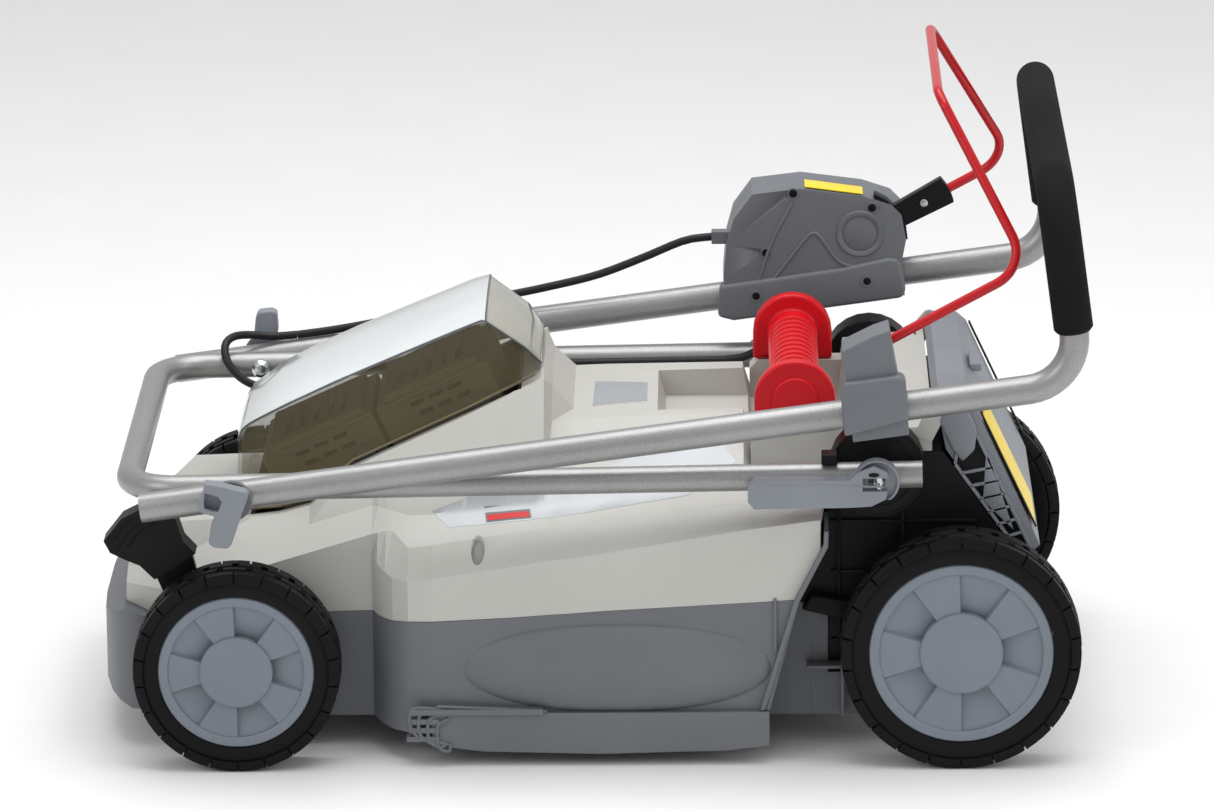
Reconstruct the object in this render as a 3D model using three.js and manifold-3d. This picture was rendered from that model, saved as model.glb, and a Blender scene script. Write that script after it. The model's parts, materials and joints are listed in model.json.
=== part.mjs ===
// Cordless push lawn mower, stored with its handle folded over the deck.
// Millimetres, +Z up, -X is the front, +Y is the machine's right-hand side.
// The machine is laid out from its front axle and then moved along X, so that
// the origin is on the ground under the middle of the whole machine.

import * as THREE from 'three';
import { mergeVertices, mergeGeometries } from 'three/addons/utils/BufferGeometryUtils.js';
import Module from 'manifold-3d';

const wasm = await Module();
wasm.setup();

// ---- driving dimensions -------------------------------------------------

const FRONT_AXLE_X = -288.35;
const GAP = 0.3;

const WHEELBASE = 591.4;
const WHEEL_SIDES = 22;
const WHEEL_IN = 181;
const WHEEL_OUT = 226;
const FRONT_WHEEL = { x: 0, radius: 85, rim: 64.4, cap: 30 };
const REAR_WHEEL = { x: WHEELBASE, radius: 98.5, rim: 75.8, cap: 34 };

const AXLE_RADIUS = 6;
const CRANK_X = -34;
const CRANK_Z = 11;
const CRANK_Y = 175.5;
const ARM_LENGTH = 25;
const ARM_Y = -128;

const DECK_HALF = 205;
const NARROW_HALF = 150;
const DECK_BOTTOM = 25;
const DECK_FRONT = -117;
const DECK_REAR = 484;
const WALL = 4.5;
const ROOF = 106;

const BLADE_X = 290;
const CHAMBER_RADIUS = 197;
const CHAMBER_ROOF = 100;
const BLADE_RADIUS = 190;
const BLADE_Z = 46;

const BAY_HALF = 88;
const BAY_FRONT = 6;
const BAY_REAR = 232;
const BAY_FLOOR_FRONT = 150;
const BAY_FLOOR_REAR = 252;
const LID_HINGE = { x: -1, z: 187 };

const LEG_LOW_Y = 190;
const LEG_UP_Y = 214;
const TUBE_LOW = 11;
const TUBE_UP = 12;
const TUBE_WALL = 1.6;
const TUBE_SIDES = 8;
const FOLD = { x: 0, z: 233 };
const LOW_SLOPE = 0.0155;
const UP_SLOPE = 0.1335;
const CAM = { x: 524, z: FOLD.z + 524 * LOW_SLOPE };
const LOW_FRONT = -88;
const LOW_REAR = 560;
const UP_FRONT = -75;
const UP_REAR = 686.8;
const HANDLE_BEND = 42;
const GRIP_RISE = 161;
const FOAM_RADIUS = 16;

const BAIL_PIVOT = { x: 515.7, z: 345 };
const BAIL_RADIUS = 4;
const BAIL_Y = 190;
const BAIL_ANGLE = 28.5;
const BAIL_CORNER = { x: 645, z: 415.2 };
const BAIL_TOP = { x: 574, z: 543.5, y: 123 };

const CARRY = { x: 457.5, z: 283, half: 114, flange: 33.5, bar: 19.5, foot: 260 };

const FLAP_HINGE = { x: 575, z: 283 };
const FLAP_HALF = 146;

const CABLE_RADIUS = 3.5;

// ---- colours --------------------------------------------------------------

const finish = (color, roughness, metalness = 0) => ({ color, roughness, metalness });
const CREAM = finish(0xd8d6cf, 0.45);
const GREY = finish(0x7f848a, 0.5);
const HUB_GREY = finish(0x929ba5, 0.45);
const BLACK = finish(0x1b1b1d, 0.55);
const RUBBER = finish(0x161617, 0.8);
const FOAM = finish(0x141416, 0.95);
const RED = finish(0xc4161c, 0.35);
const STEEL = finish(0x9b9da0, 0.35, 0.9);
const ZINC = finish(0xc9ccd0, 0.3, 0.95);
const SMOKE = finish(0x6f6a55, 0.08);

// ---- solids ----------------------------------------------------------------

function bare(geometry) {
  const copy = geometry.index ? geometry.toNonIndexed() : geometry.clone();
  copy.deleteAttribute('normal');
  copy.deleteAttribute('uv');
  return mergeVertices(copy, 1e-3);
}

function toSolid(geometry) {
  const g = bare(geometry);
  const solid = new wasm.Mesh({
    numProp: 3,
    vertProperties: new Float32Array(g.attributes.position.array),
    triVerts: new Uint32Array(g.index.array),
  });
  return new wasm.Manifold(solid);
}

function toGeometry(manifold) {
  const mesh = manifold.getMesh();
  const g = new THREE.BufferGeometry();
  g.setAttribute('position', new THREE.BufferAttribute(new Float32Array(mesh.vertProperties), 3));
  g.setIndex(new THREE.BufferAttribute(new Uint32Array(mesh.triVerts), 1));
  return g;
}

function cut(base, ...tools) {
  let solid = toSolid(base);
  for (const tool of tools) solid = solid.subtract(toSolid(tool));
  return toGeometry(solid);
}

function join(...pieces) {
  let solid = toSolid(pieces[0]);
  for (const piece of pieces.slice(1)) solid = solid.add(toSolid(piece));
  return toGeometry(solid);
}

function common(a, b) {
  return toGeometry(toSolid(a).intersect(toSolid(b)));
}

function block(x0, x1, y0, y1, z0, z1) {
  const g = new THREE.BoxGeometry(x1 - x0, y1 - y0, z1 - z0);
  return g.translate((x0 + x1) / 2, (y0 + y1) / 2, (z0 + z1) / 2);
}

function outline(points) {
  return new THREE.Shape(points.map(([a, b]) => new THREE.Vector2(a, b)));
}

// a side outline of x and z, carried across the machine from y0 to y1
function slab(points, y0, y1) {
  const g = new THREE.ExtrudeGeometry(outline(points), { depth: y1 - y0, bevelEnabled: false });
  return g.rotateX(Math.PI / 2).translate(0, y1, 0);
}

// a plan outline of x and y, carried up from z0 to z1
function plate(points, z0, z1) {
  const g = new THREE.ExtrudeGeometry(outline(points), { depth: z1 - z0, bevelEnabled: false });
  return g.translate(0, 0, z0);
}

function circle(x, z, radius, sides = 16, from = 0, to = 360) {
  const turn = to - from;
  const count = turn === 360 ? sides : sides + 1;
  return Array.from({ length: count }, (_, i) => {
    const a = THREE.MathUtils.degToRad(from + (turn * i) / sides);
    return [x + radius * Math.cos(a), z + radius * Math.sin(a)];
  });
}

// a cylinder that lies across the machine
function cross(x, z, radius, y0, y1, sides = 16) {
  return slab(circle(x, z, radius, sides), y0, y1);
}

function upright(x, y, radius, z0, z1, sides = 24) {
  return plate(circle(x, y, radius, sides), z0, z1);
}

// a ring turned about the crosswise axis through x and z, from a profile of [radius, y]
function turned(profile, x, z, sides = WHEEL_SIDES) {
  const points = profile.map(([r, y]) => new THREE.Vector2(r, y));
  if (profile[0][0] > 0) points.push(points[0].clone());
  const g = new THREE.LatheGeometry(points, sides, Math.PI / sides);
  return g.translate(x, 0, z);
}

// a body turned about the upright axis through x, from a profile of [radius, z]
function spun(profile, x, sides = 24) {
  return turned(profile, 0, 0, sides).rotateX(Math.PI / 2).translate(x, 0, 0);
}

function mirrored(geometry) {
  const g = bare(geometry).scale(1, -1, 1);
  const index = g.index.array;
  for (let i = 0; i < index.length; i += 3) {
    [index[i], index[i + 1]] = [index[i + 1], index[i]];
  }
  return g;
}

// geometry made for the right-hand side, given for side 1 (right) or -1 (left)
function forSide(side, geometry) {
  return side > 0 ? geometry : mirrored(geometry);
}

// a closed skin over a row of rings that have the same number of points
function skin(rings, capped = true) {
  const count = rings[0].length;
  const index = [];
  const last = capped ? rings.length - 1 : rings.length;
  for (let i = 0; i < last; i++) {
    for (let k = 0; k < count; k++) {
      const a = i * count + k;
      const b = i * count + ((k + 1) % count);
      const c = ((i + 1) % rings.length) * count + k;
      const d = ((i + 1) % rings.length) * count + ((k + 1) % count);
      index.push(a, b, c, b, d, c);
    }
  }
  if (capped) {
    for (const [ring, flip] of [[0, true], [rings.length - 1, false]]) {
      const flat = flatten(rings[ring]);
      for (const [a, b, c] of THREE.ShapeUtils.triangulateShape(flat, [])) {
        const at = [a, b, c].map((k) => ring * count + k);
        index.push(...(flip === (THREE.ShapeUtils.area(flat) < 0) ? at : at.reverse()));
      }
    }
  }
  const g = new THREE.BufferGeometry();
  g.setAttribute('position', new THREE.Float32BufferAttribute(rings.flat(2), 3));
  g.setIndex(index);
  return outward(g);
}

function flatten(ring) {
  const spread = [0, 1, 2].map((k) => {
    const values = ring.map((p) => p[k]);
    return Math.max(...values) - Math.min(...values);
  });
  const drop = spread.indexOf(Math.min(...spread));
  const [u, v] = [0, 1, 2].filter((k) => k !== drop);
  return ring.map((p) => new THREE.Vector2(p[u], p[v]));
}

function volume(g) {
  const p = g.attributes.position;
  const [a, b, c] = [new THREE.Vector3(), new THREE.Vector3(), new THREE.Vector3()];
  let total = 0;
  for (let i = 0; i < g.index.count; i += 3) {
    a.fromBufferAttribute(p, g.index.getX(i));
    b.fromBufferAttribute(p, g.index.getX(i + 1));
    c.fromBufferAttribute(p, g.index.getX(i + 2));
    total += a.dot(b.cross(c));
  }
  return total;
}

function outward(g) {
  if (volume(g) < 0) {
    const index = g.index.array;
    for (let i = 0; i < index.length; i += 3) {
      [index[i], index[i + 1]] = [index[i + 1], index[i]];
    }
  }
  return g;
}

// rings of [y, z] half outlines along x, mirrored across the machine's middle
function hull(stations) {
  const rings = stations.map(([x, ...half]) => {
    const right = half.map(([y, z]) => [x, y, z]);
    const left = half.map(([y, z]) => [x, -y, z]).reverse();
    return [...right, ...left];
  });
  return skin(rings);
}

// a line with its corners rounded, to one bend radius or to one for each corner
function bentLine(points, bend, steps = 5) {
  const p = points.map((q) => new THREE.Vector3(...q));
  const line = [p[0]];
  for (let i = 1; i < p.length - 1; i++) {
    const into = p[i].clone().sub(p[i - 1]).normalize();
    const out = p[i + 1].clone().sub(p[i]).normalize();
    const angle = into.angleTo(out);
    const radius = Array.isArray(bend) ? bend[i - 1] : bend;
    const reach = radius * Math.tan(angle / 2);
    const start = p[i].clone().addScaledVector(into, -reach);
    const inward = out.clone().addScaledVector(into, -into.dot(out)).normalize();
    for (let k = 0; k <= steps; k++) {
      const a = (angle * k) / steps;
      line.push(
        start
          .clone()
          .addScaledVector(into, radius * Math.sin(a))
          .addScaledVector(inward, radius * (1 - Math.cos(a))),
      );
    }
  }
  line.push(p[p.length - 1]);
  return line;
}

function ringsAlong(line, radius, sides) {
  const rings = [];
  let side = new THREE.Vector3(0, 0, 1);
  line.forEach((point, i) => {
    const ahead = line[Math.min(i + 1, line.length - 1)];
    const behind = line[Math.max(i - 1, 0)];
    const along = ahead.clone().sub(behind).normalize();
    if (Math.abs(side.dot(along)) > 0.95) side = new THREE.Vector3(1, 0, 0);
    side = side.clone().addScaledVector(along, -side.dot(along)).normalize();
    const other = along.clone().cross(side);
    rings.push(
      Array.from({ length: sides }, (_, k) => {
        const a = ((k + 0.5) / sides) * 2 * Math.PI;
        return point
          .clone()
          .addScaledVector(side, radius * Math.cos(a))
          .addScaledVector(other, radius * Math.sin(a))
          .toArray();
      }),
    );
  });
  return rings;
}

function rodAlong(line, radius, sides = 8) {
  return skin(ringsAlong(line, radius, sides));
}

function pipeAlong(line, outer, inner, sides = TUBE_SIDES) {
  const out = ringsAlong(line, outer, sides);
  const back = ringsAlong(line, inner, sides).reverse();
  return skin([...out, ...back], false);
}

function smooth(points, steps) {
  const curve = new THREE.CatmullRomCurve3(points.map((q) => new THREE.Vector3(...q)));
  return curve.getSpacedPoints(steps);
}

const lowZ = (x) => FOLD.z + x * LOW_SLOPE;
const upZ = (x) => FOLD.z + x * UP_SLOPE;

// ---- wheels ---------------------------------------------------------------

function tyre(side, wheel) {
  const r = wheel.radius / Math.cos(Math.PI / WHEEL_SIDES);
  const profile = [
    [wheel.rim, WHEEL_IN + 3],
    [r - 9, WHEEL_IN],
    [r, WHEEL_IN + 10],
    [r, WHEEL_OUT - 10],
    [r - 9, WHEEL_OUT],
    [wheel.rim, WHEEL_OUT - 2],
  ];
  return forSide(side, outward(bare(turned(profile, wheel.x, wheel.radius))));
}

function hub(side, wheel) {
  const profile = [
    [AXLE_RADIUS + GAP, 190],
    [20, 190],
    [24, 203],
    [wheel.rim - 8, 203],
    [wheel.rim - GAP, 186],
    [wheel.rim - GAP, 223],
    [wheel.rim - 9, 222],
    [wheel.cap + 1, 219],
    [wheel.cap + 1, 216],
    [AXLE_RADIUS + GAP, 216],
  ];
  return forSide(side, outward(bare(turned(profile, wheel.x, wheel.radius))));
}

function hubCap(side, wheel) {
  const profile = [
    [0, 216 + GAP],
    [wheel.cap, 216 + GAP],
    [wheel.cap, 222],
    [wheel.cap - 4, 224],
    [0, 225],
  ];
  return forSide(side, outward(bare(turned(profile, wheel.x, wheel.radius))));
}

// ---- height adjustment -----------------------------------------------------

function axleRod(wheel) {
  const z = wheel.radius;
  const line = bentLine(
    [
      [wheel.x, -215.5, z],
      [wheel.x, -CRANK_Y, z],
      [wheel.x + CRANK_X, -CRANK_Y, z + CRANK_Z],
      [wheel.x + CRANK_X, CRANK_Y, z + CRANK_Z],
      [wheel.x, CRANK_Y, z],
      [wheel.x, 215.5, z],
    ],
    8,
    3,
  );
  return rodAlong(line, AXLE_RADIUS, 10);
}

function crankArm(wheel) {
  const x = wheel.x + CRANK_X;
  const z = wheel.radius + CRANK_Z;
  const body = slab(
    [...circle(x, z, 12, 8, 180, 360), ...circle(x, z + ARM_LENGTH, 6.5, 6, 0, 180)],
    ARM_Y - 3,
    ARM_Y + 3,
  );
  const pin = cross(x, z + ARM_LENGTH, 3, ARM_Y + 2, ARM_Y + 9, 8);
  return join(body, pin);
}

function crankedAxle(wheel) {
  return join(axleRod(wheel), crankArm(wheel));
}

function linkRod() {
  const y = ARM_Y + 3 + GAP;
  const front = [CRANK_X, FRONT_WHEEL.radius + CRANK_Z + ARM_LENGTH];
  const rear = [WHEELBASE + CRANK_X, REAR_WHEEL.radius + CRANK_Z + ARM_LENGTH];
  const strap = slab(
    [
      [front[0], front[1] - 4],
      [rear[0], rear[1] - 4],
      [rear[0], rear[1] + 4],
      [front[0], front[1] + 4],
    ],
    y,
    y + 4,
  );
  const eyes = [front, rear].map(([x, z]) => cross(x, z, 7, y, y + 4, 12));
  const holes = [front, rear].map(([x, z]) => cross(x, z, 3.6, y - 2, y + 6, 12));
  return cut(join(strap, ...eyes), ...holes);
}

function heightLever() {
  const x = CRANK_X;
  const z = FRONT_WHEEL.radius + CRANK_Z;
  const arm = slab(
    [...circle(x, z, 13, 8, 200, 380), [-38, 168], [-72, 160], [-56, 120]],
    -162,
    -154,
  );
  const paddle = slab(
    [
      [-109, 184],
      [-104, 174],
      [-92, 168],
      [-80, 163],
      [-68, 151],
      [-42, 167],
      [-34, 173],
      [-44, 184],
      [-50, 203],
      [-62, 209],
      [-76, 212],
      [-94, 203],
    ],
    -177.5,
    -154,
  );
  return cut(join(arm, paddle), cross(x, z, AXLE_RADIUS + GAP + 0.1, -170, -150, 12));
}

// ---- deck -------------------------------------------------------------------

// the joint between the grey deck and the cream cover, seen from the side
const SPLIT = [
  [DECK_FRONT - 8, 94.6],
  [-97, 116],
  [-76, 110.5],
  [108, 115],
  [142, 120],
  [191, 123.4],
  [234, 126],
  [300, 131],
  [378, 135],
  [459, 139.5],
  [DECK_REAR + 4, 140],
];

// the slanted rear edge of the deck's sides, in front of the rear wheels
const ARCH = [
  [430, DECK_BOTTOM],
  [459.5, 139],
  [483.2, 186],
  [483.5, 199],
];
const ARCH_WALL = 3.5;
const ARCH_IN = 152;
const ARCH_OUT = 207.5;

// the space behind the slanted edge, moved forwards and up for what must clear its wall
function behindArch(forward, up, side) {
  const edge = ARCH.map(([x, z]) => [x - forward, z]);
  const foot = [edge[0][0] - 6, DECK_BOTTOM - 20];
  const top = edge[edge.length - 1];
  const space = slab(
    [foot, ...edge, [top[0], top[1] + up], [510, top[1] + up], [510, DECK_BOTTOM - 20]],
    ARCH_IN - forward / 4,
    230,
  );
  return forSide(side, space);
}

function archWall(side) {
  const front = ARCH.map(([x, z]) => [x - ARCH_WALL, z]).reverse();
  const room = block(420, 440, DECK_HALF, ARCH_OUT + 1, 10, 46 + GAP);
  const wall = cut(slab([...ARCH, ...front], ARCH_IN, ARCH_OUT), room);
  return forSide(side, wall);
}

// the rounded step from the narrow front to the full width, seen from above
const STEP = [
  [109, NARROW_HALF],
  [114, 165],
  [121, 179],
  [127, 188],
  [140, 198],
  [160, 203.5],
];

const bothHalves = (half) => [...half, ...half.map(([x, y]) => [x, -y]).reverse()];

function deckPlan() {
  return bothHalves([
    [DECK_FRONT - 2, 40],
    [DECK_FRONT + 1, 90],
    [DECK_FRONT + 7, 120],
    [DECK_FRONT + 15, 138],
    [DECK_FRONT + 25, 147],
    [DECK_FRONT + 37, NARROW_HALF],
    ...STEP,
    [183, DECK_HALF],
    [462, DECK_HALF],
    [DECK_REAR, 158],
  ]);
}

// the space inside the deck's upper walls; its front stays solid under the cover's foot
function deckRoom() {
  return bothHalves([
    [-92, 106],
    [-60, 138],
    [-50, NARROW_HALF - WALL],
    ...STEP.map(([x, y]) => [x + WALL, y - WALL]),
    [183, DECK_HALF - WALL],
    [462 - WALL, DECK_HALF - WALL],
    [DECK_REAR - WALL, 158 - WALL],
  ]);
}

// the inner wall behind each slanted edge
function archPanel(side) {
  const outline = [
    [425, 96],
    [470, 96],
    [470, DECK_BOTTOM],
    [520, DECK_BOTTOM],
    [520, 61.5],
    [DECK_REAR - 0.4, 61.5],
    [DECK_REAR - 0.4, 122],
    [440, 122],
  ];
  return forSide(side, slab(outline, ARCH_IN - 4, ARCH_IN + 0.5));
}

function deckLower() {
  const front = DECK_FRONT - 8;
  const side = [
    [front, 45],
    ...SPLIT,
    [DECK_REAR + 4, DECK_BOTTOM],
    [60, DECK_BOTTOM],
    [-92, 31],
  ];
  const body = common(plate(deckPlan(), 0, 200), slab(side, -230, 230));
  const trimmed = cut(body, behindArch(0, 0, 1), behindArch(0, 0, -1));
  const hollowed = cut(
    trimmed,
    plate(deckRoom(), ROOF, 210),
    block(470, DECK_REAR + 10, -170, 170, 122, 150),
  );
  return cut(
    join(hollowed, ...[1, -1].flatMap((hand) => [archWall(hand), archPanel(hand)])),
    upright(BLADE_X, 0, CHAMBER_RADIUS, -10, CHAMBER_ROOF, 40),
    block(-93, -49, -105, 105, 46, 120),
    block(-50, 92, -142, 142, 46, 120),
    block(455, 500, -95, 95, 66, CHAMBER_ROOF),
    block(470, 500, -141, -112, 110, 160),
    block(470, 500, 112, 141, 110, 160),
    upright(BLADE_X, 0, 13, 90, 120),
    cross(CRANK_X, FRONT_WHEEL.radius + CRANK_Z, AXLE_RADIUS + 0.5, -170, 170, 12),
  );
}

function sideComb(side) {
  const y0 = DECK_HALF + 0.4;
  const y1 = y0 + 6.5;
  const panel = slab(
    [
      [171, 17],
      [200, 13],
      [296, 10.5],
      [400, 13],
      [435, 17],
      [435, 46],
      [171, 46],
    ],
    y0,
    y1,
  );
  const rail = block(142, 250, y0, y1 + 3, 45, 50);
  const back = slab([[160, 20], [175, 17], [175, 50], [156, 50]], y0, y1);
  const fingers = [22, 29.5, 37].map((z, i) =>
    block(138 + 2 * i, 165, y0, y1 + 2, z, z + 4.5),
  );
  return forSide(side, join(panel, rail, back, ...fingers));
}

// stations of the cover: x, then the half outline from the foot up to the top
const LOW = 100;
function coverStations(wall) {
  const w = wall;
  const foot = LOW - 5 * w;
  const shell = (x, shift, points, base = foot) => [
    x + shift * (w / WALL),
    [points[0][0] - w, base],
    ...points.slice(1).map(([y, z]) => [y - w, z - w]),
  ];
  const rim = (x) => lidBase(x) - 4;
  // the hump behind the lid is solid, so the inner shell passes under it
  const hump = (edge, top) => (w ? [[88, 259], [52, 259.8]] : [edge, top]);
  const neck = 215.6 - 5 * w;
  const tail = 249.6 - 5 * w;
  return [
    shell(-96, 6, [[120], [120, 122], [119, 131], [100, 139], [70, 142], [50, 143]]),
    shell(-52, 4, [[149], [149, 122], [149, 132], [118, 152], [99, 178], [50, 179]]),
    shell(8, 0, [[149], [149, 140], [149, 150], [118, 168.5], [98, rim(8)], [50, rim(8)]]),
    shell(30, 0, [[149], [149, 146], [149, 156.7], [118, 173.5], [98, rim(30)], [50, rim(30)]]),
    shell(56, 0, [[149], [149, 152], [149, 164.6], [118, 180], [97, rim(56)], [50, rim(56)]]),
    shell(92, 2, [[149], [149, 159], [149, 175.5], [118, 191], [97, rim(92)], [50, rim(92)]]),
    shell(109, 4, [[149], [149, 163], [149, 180.7], [120, 197], [97, rim(109)], [50, rim(109)]]),
    shell(114, 4, [[164], [164, 159], [150, 182], [126, 197.5], [97, rim(114)], [50, rim(114)]]),
    shell(121, 4, [[178], [178, 156.5], [151, 184], [132, 197], [97, rim(121)], [50, rim(121)]]),
    shell(127, 3, [[187], [187, 154.5], [153, 184.5], [136, 196.5], [97, rim(127)], [50, rim(127)]]),
    shell(140, 2, [[197], [197, 154], [176, 176.5], [143, 194.5], [97, rim(140)], [50, rim(140)]]),
    shell(160, 0, [[202.5], [202.5, 158], [177, 179], [146, 196.5], [97, rim(160)], [50, rim(160)]]),
    shell(183, 0, [[204], [204, 162], [177, 183], [147, 199], [96, rim(183)], [50, rim(183)]]),
    shell(222, 0, [[205], [205, 168], [176, 188.5], [148, 202], [93, rim(222)], [50, rim(222)]]),
    shell(250.5, 4, [[205], [205, 173], [176, 192.5], [149, 204], ...hump([84, 294], [60, 298.5])]),
    shell(257, -3, [[205], [205, 174], [176, 193.5], [149, 204], ...hump([91, 260], [60, 283])]),
    shell(274, -4, [[206], [206, 176], [176, 195.5], [150, 206], [88, 259], [52, 259.8]]),
    shell(300, 0, [[206], [206, 180], [176, 199], [150, 208], [83, 261.3], [52, 262]]),
    shell(415, -4, [[205], [205, 199], [176, 213], [150, 221], [79, 264], [52, 265]]),
    shell(422, -4, [[205], [205, 200], [176, 214], [150, 223], [112, 228], [95, 227]]),
    shell(477, 6, [[204], [204, 207], [176, 215], [150, 226], [112, 229], [95, 228]]),
    shell(483.5, 0, [[149], [149, 222], [146, 226], [140, 228], [112, 229], [95, 228]], neck),
    shell(495, 5, [[149], [149, 222], [146, 226], [140, 228], [112, 229], [95, 228]], neck),
    shell(500.5, 5, [[149], [149, 258], [146, 264], [140, 268], [110, 272], [95, 273]], tail),
    shell(569, -4, [[149], [149, 262], [146, 270], [138, 276], [110, 279], [95, 280]], tail),
  ];
}

// the tray for the fingers under the carrying bar, grown by the wall for what must clear it
function fingerTray(wall) {
  return slab(
    [
      [334 - wall, 300],
      [350 - wall, 241 - wall],
      [430 + wall, 241 - wall],
      [430 + wall, 300],
    ],
    -68 - wall,
    55 + wall,
  );
}

// the raised foot under each end of the carrying handle
function carryFoot(side) {
  const foot = slab([[421, 224], [421, 252], [428, 259.6], [499, 259.6], [499, 224]], 99, 121);
  return forSide(side, foot);
}

function bodyCover() {
  const outer = cut(hull(coverStations(0)), fingerTray(0));
  const inner = cut(hull(coverStations(WALL)), fingerTray(WALL));
  const below = [...SPLIT.map(([x, z]) => [x, z + GAP]), [DECK_REAR + 4, 0], [DECK_FRONT - 8, 0]];
  const bay = slab(
    [
      [BAY_FRONT, BAY_FLOOR_FRONT],
      [BAY_REAR, BAY_FLOOR_REAR],
      [BAY_REAR, 400],
      [BAY_FRONT, 400],
    ],
    -BAY_HALF,
    BAY_HALF,
  );
  const seat = slab(
    [
      [196, lidBase(196) - 1.5],
      [249.5, lidBase(249.5) - 1.5],
      [249.5, 400],
      [196, 400],
    ],
    -100,
    100,
  );
  const ears = [1, -1].map((side) =>
    forSide(
      side,
      slab(
        [[555, 262], [569, 258], ...circle(FLAP_HINGE.x, FLAP_HINGE.z, 7, 6, -60, 120), [560, 276]],
        FLAP_HALF + 0.8,
        NARROW_HALF,
      ),
    ),
  );
  const shell = cut(outer, inner, slab(below, -230, 230), bay, seat);
  const bore = cross(FLAP_HINGE.x, FLAP_HINGE.z, 3.4, -160, 160, 10);
  const arches = [1, -1].map((side) => behindArch(ARCH_WALL + GAP, GAP, side));
  const feet = [1, -1].map((side) => carryFoot(side));
  return cut(join(cut(shell, ...arches), ...ears, ...feet), bore);
}

function rearChassis() {
  const body = slab(
    [
      [DECK_REAR + 0.5, 62],
      [600, 62],
      [634, 128],
      [640, 158],
      [578, 249],
      [501.5, 249],
      [501.5, 215],
      [DECK_REAR + 0.5, 215],
    ],
    -NARROW_HALF,
    NARROW_HALF,
  );
  const duct = slab(
    [
      [470, 66],
      [484, 66],
      [530, 84],
      [550, 119],
      [660, 168],
      [640, 240],
      [572, 240],
      [484, 100],
      [470, 100],
    ],
    -95,
    95,
  );
  const pockets = [-145, 100].map((y) => block(470, 586, y, y + 45, 66, 244));
  const rear = REAR_WHEEL;
  const bore = cross(
    rear.x + CRANK_X,
    rear.radius + CRANK_Z,
    AXLE_RADIUS + 0.5,
    -170,
    170,
    12,
  );
  const cheek = slab(
    [
      [448, 122.4],
      [490, 122.4],
      [490, 199],
      [472, 199],
    ],
    ARCH_IN - 4.5,
    ARCH_IN - 1.5,
  );
  const cheeks = [1, -1].map((side) => forSide(side, cheek));
  return join(cut(body, duct, ...pockets, bore), ...cheeks);
}

// ---- drive ------------------------------------------------------------------

function motorHousing() {
  const outer = spun([[0, 106.4], [55, 106.4], [55, 172], [48, 180], [0, 182]], BLADE_X);
  const cavity = spun([[0, 112], [47, 112], [47, 172], [0, 172]], BLADE_X);
  return cut(outer, cavity, upright(BLADE_X, 0, 12, 100, 115, 16));
}

function rotorShaft() {
  return spun([[0, 50], [7.5, 50], [7.5, 116], [43, 117], [43, 168], [0, 168]], BLADE_X, 20);
}

function bladeHolder() {
  const disc = spun([[0, BLADE_Z + 4], [44, BLADE_Z + 4], [44, 56], [16, 66], [0, 66]], BLADE_X, 20);
  return cut(disc, upright(BLADE_X, 0, 7.9, 40, 80, 20));
}

function blade() {
  const half = BLADE_RADIUS;
  const bar = plate(
    [
      [BLADE_X - 24, -half],
      [BLADE_X + 14, -half],
      [BLADE_X + 24, -half + 70],
      [BLADE_X + 24, half],
      [BLADE_X - 14, half],
      [BLADE_X - 24, half - 70],
    ],
    BLADE_Z,
    BLADE_Z + 3.6,
  );
  return cut(bar, upright(BLADE_X, 0, 5.5, 30, 60, 16));
}

function bladeBolt() {
  return join(
    upright(BLADE_X, 0, 11, 38, BLADE_Z - GAP, 6),
    upright(BLADE_X, 0, 5, 45, 49.6, 12),
  );
}

// ---- battery bay --------------------------------------------------------------

const bayFloor = (x) =>
  BAY_FLOOR_FRONT +
  ((x - BAY_FRONT) * (BAY_FLOOR_REAR - BAY_FLOOR_FRONT)) / (BAY_REAR - BAY_FRONT);

// height of the lid's lower edge
function lidBase(x) {
  if (x < 30) return 183 + ((x + 4) * 4) / 34;
  if (x < 56) return 187 + ((x - 30) * 7) / 26;
  if (x < 92) return 194 + ((x - 56) * 33) / 36;
  return 227 + (x - 92) * 0.461;
}

function batteryBay() {
  const x0 = BAY_FRONT + 0.4;
  const x1 = BAY_REAR - 0.4;
  const half = BAY_HALF - 0.4;
  const rim = (x) => lidBase(x) - 6;
  const outer = slab(
    [
      [x0, bayFloor(x0) + 0.4],
      [x1, bayFloor(x1) + 0.4],
      [x1, rim(x1)],
      [92, rim(92)],
      [56, rim(56)],
      [30, rim(30)],
      [x0, rim(x0)],
    ],
    -half,
    half,
  );
  const hollow = slab(
    [
      [x0 + 3, bayFloor(x0) + 5],
      [x1 - 3, bayFloor(x1) + 2.5],
      [x1 - 3, 400],
      [x0 + 3, 400],
    ],
    -half + 3,
    half - 3,
  );
  return cut(outer, hollow);
}

function batteryPack(start, length) {
  const angle = Math.atan2(BAY_FLOOR_REAR - BAY_FLOOR_FRONT, BAY_REAR - BAY_FRONT);
  const body = block(start, start + length, -62, 62, 6, 60);
  const head = block(start + 8, start + length - 8, -54, 54, 59, 66);
  return join(body, head)
    .rotateY(-angle)
    .translate(BAY_FRONT + 3, 0, BAY_FLOOR_FRONT + 1);
}

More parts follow.
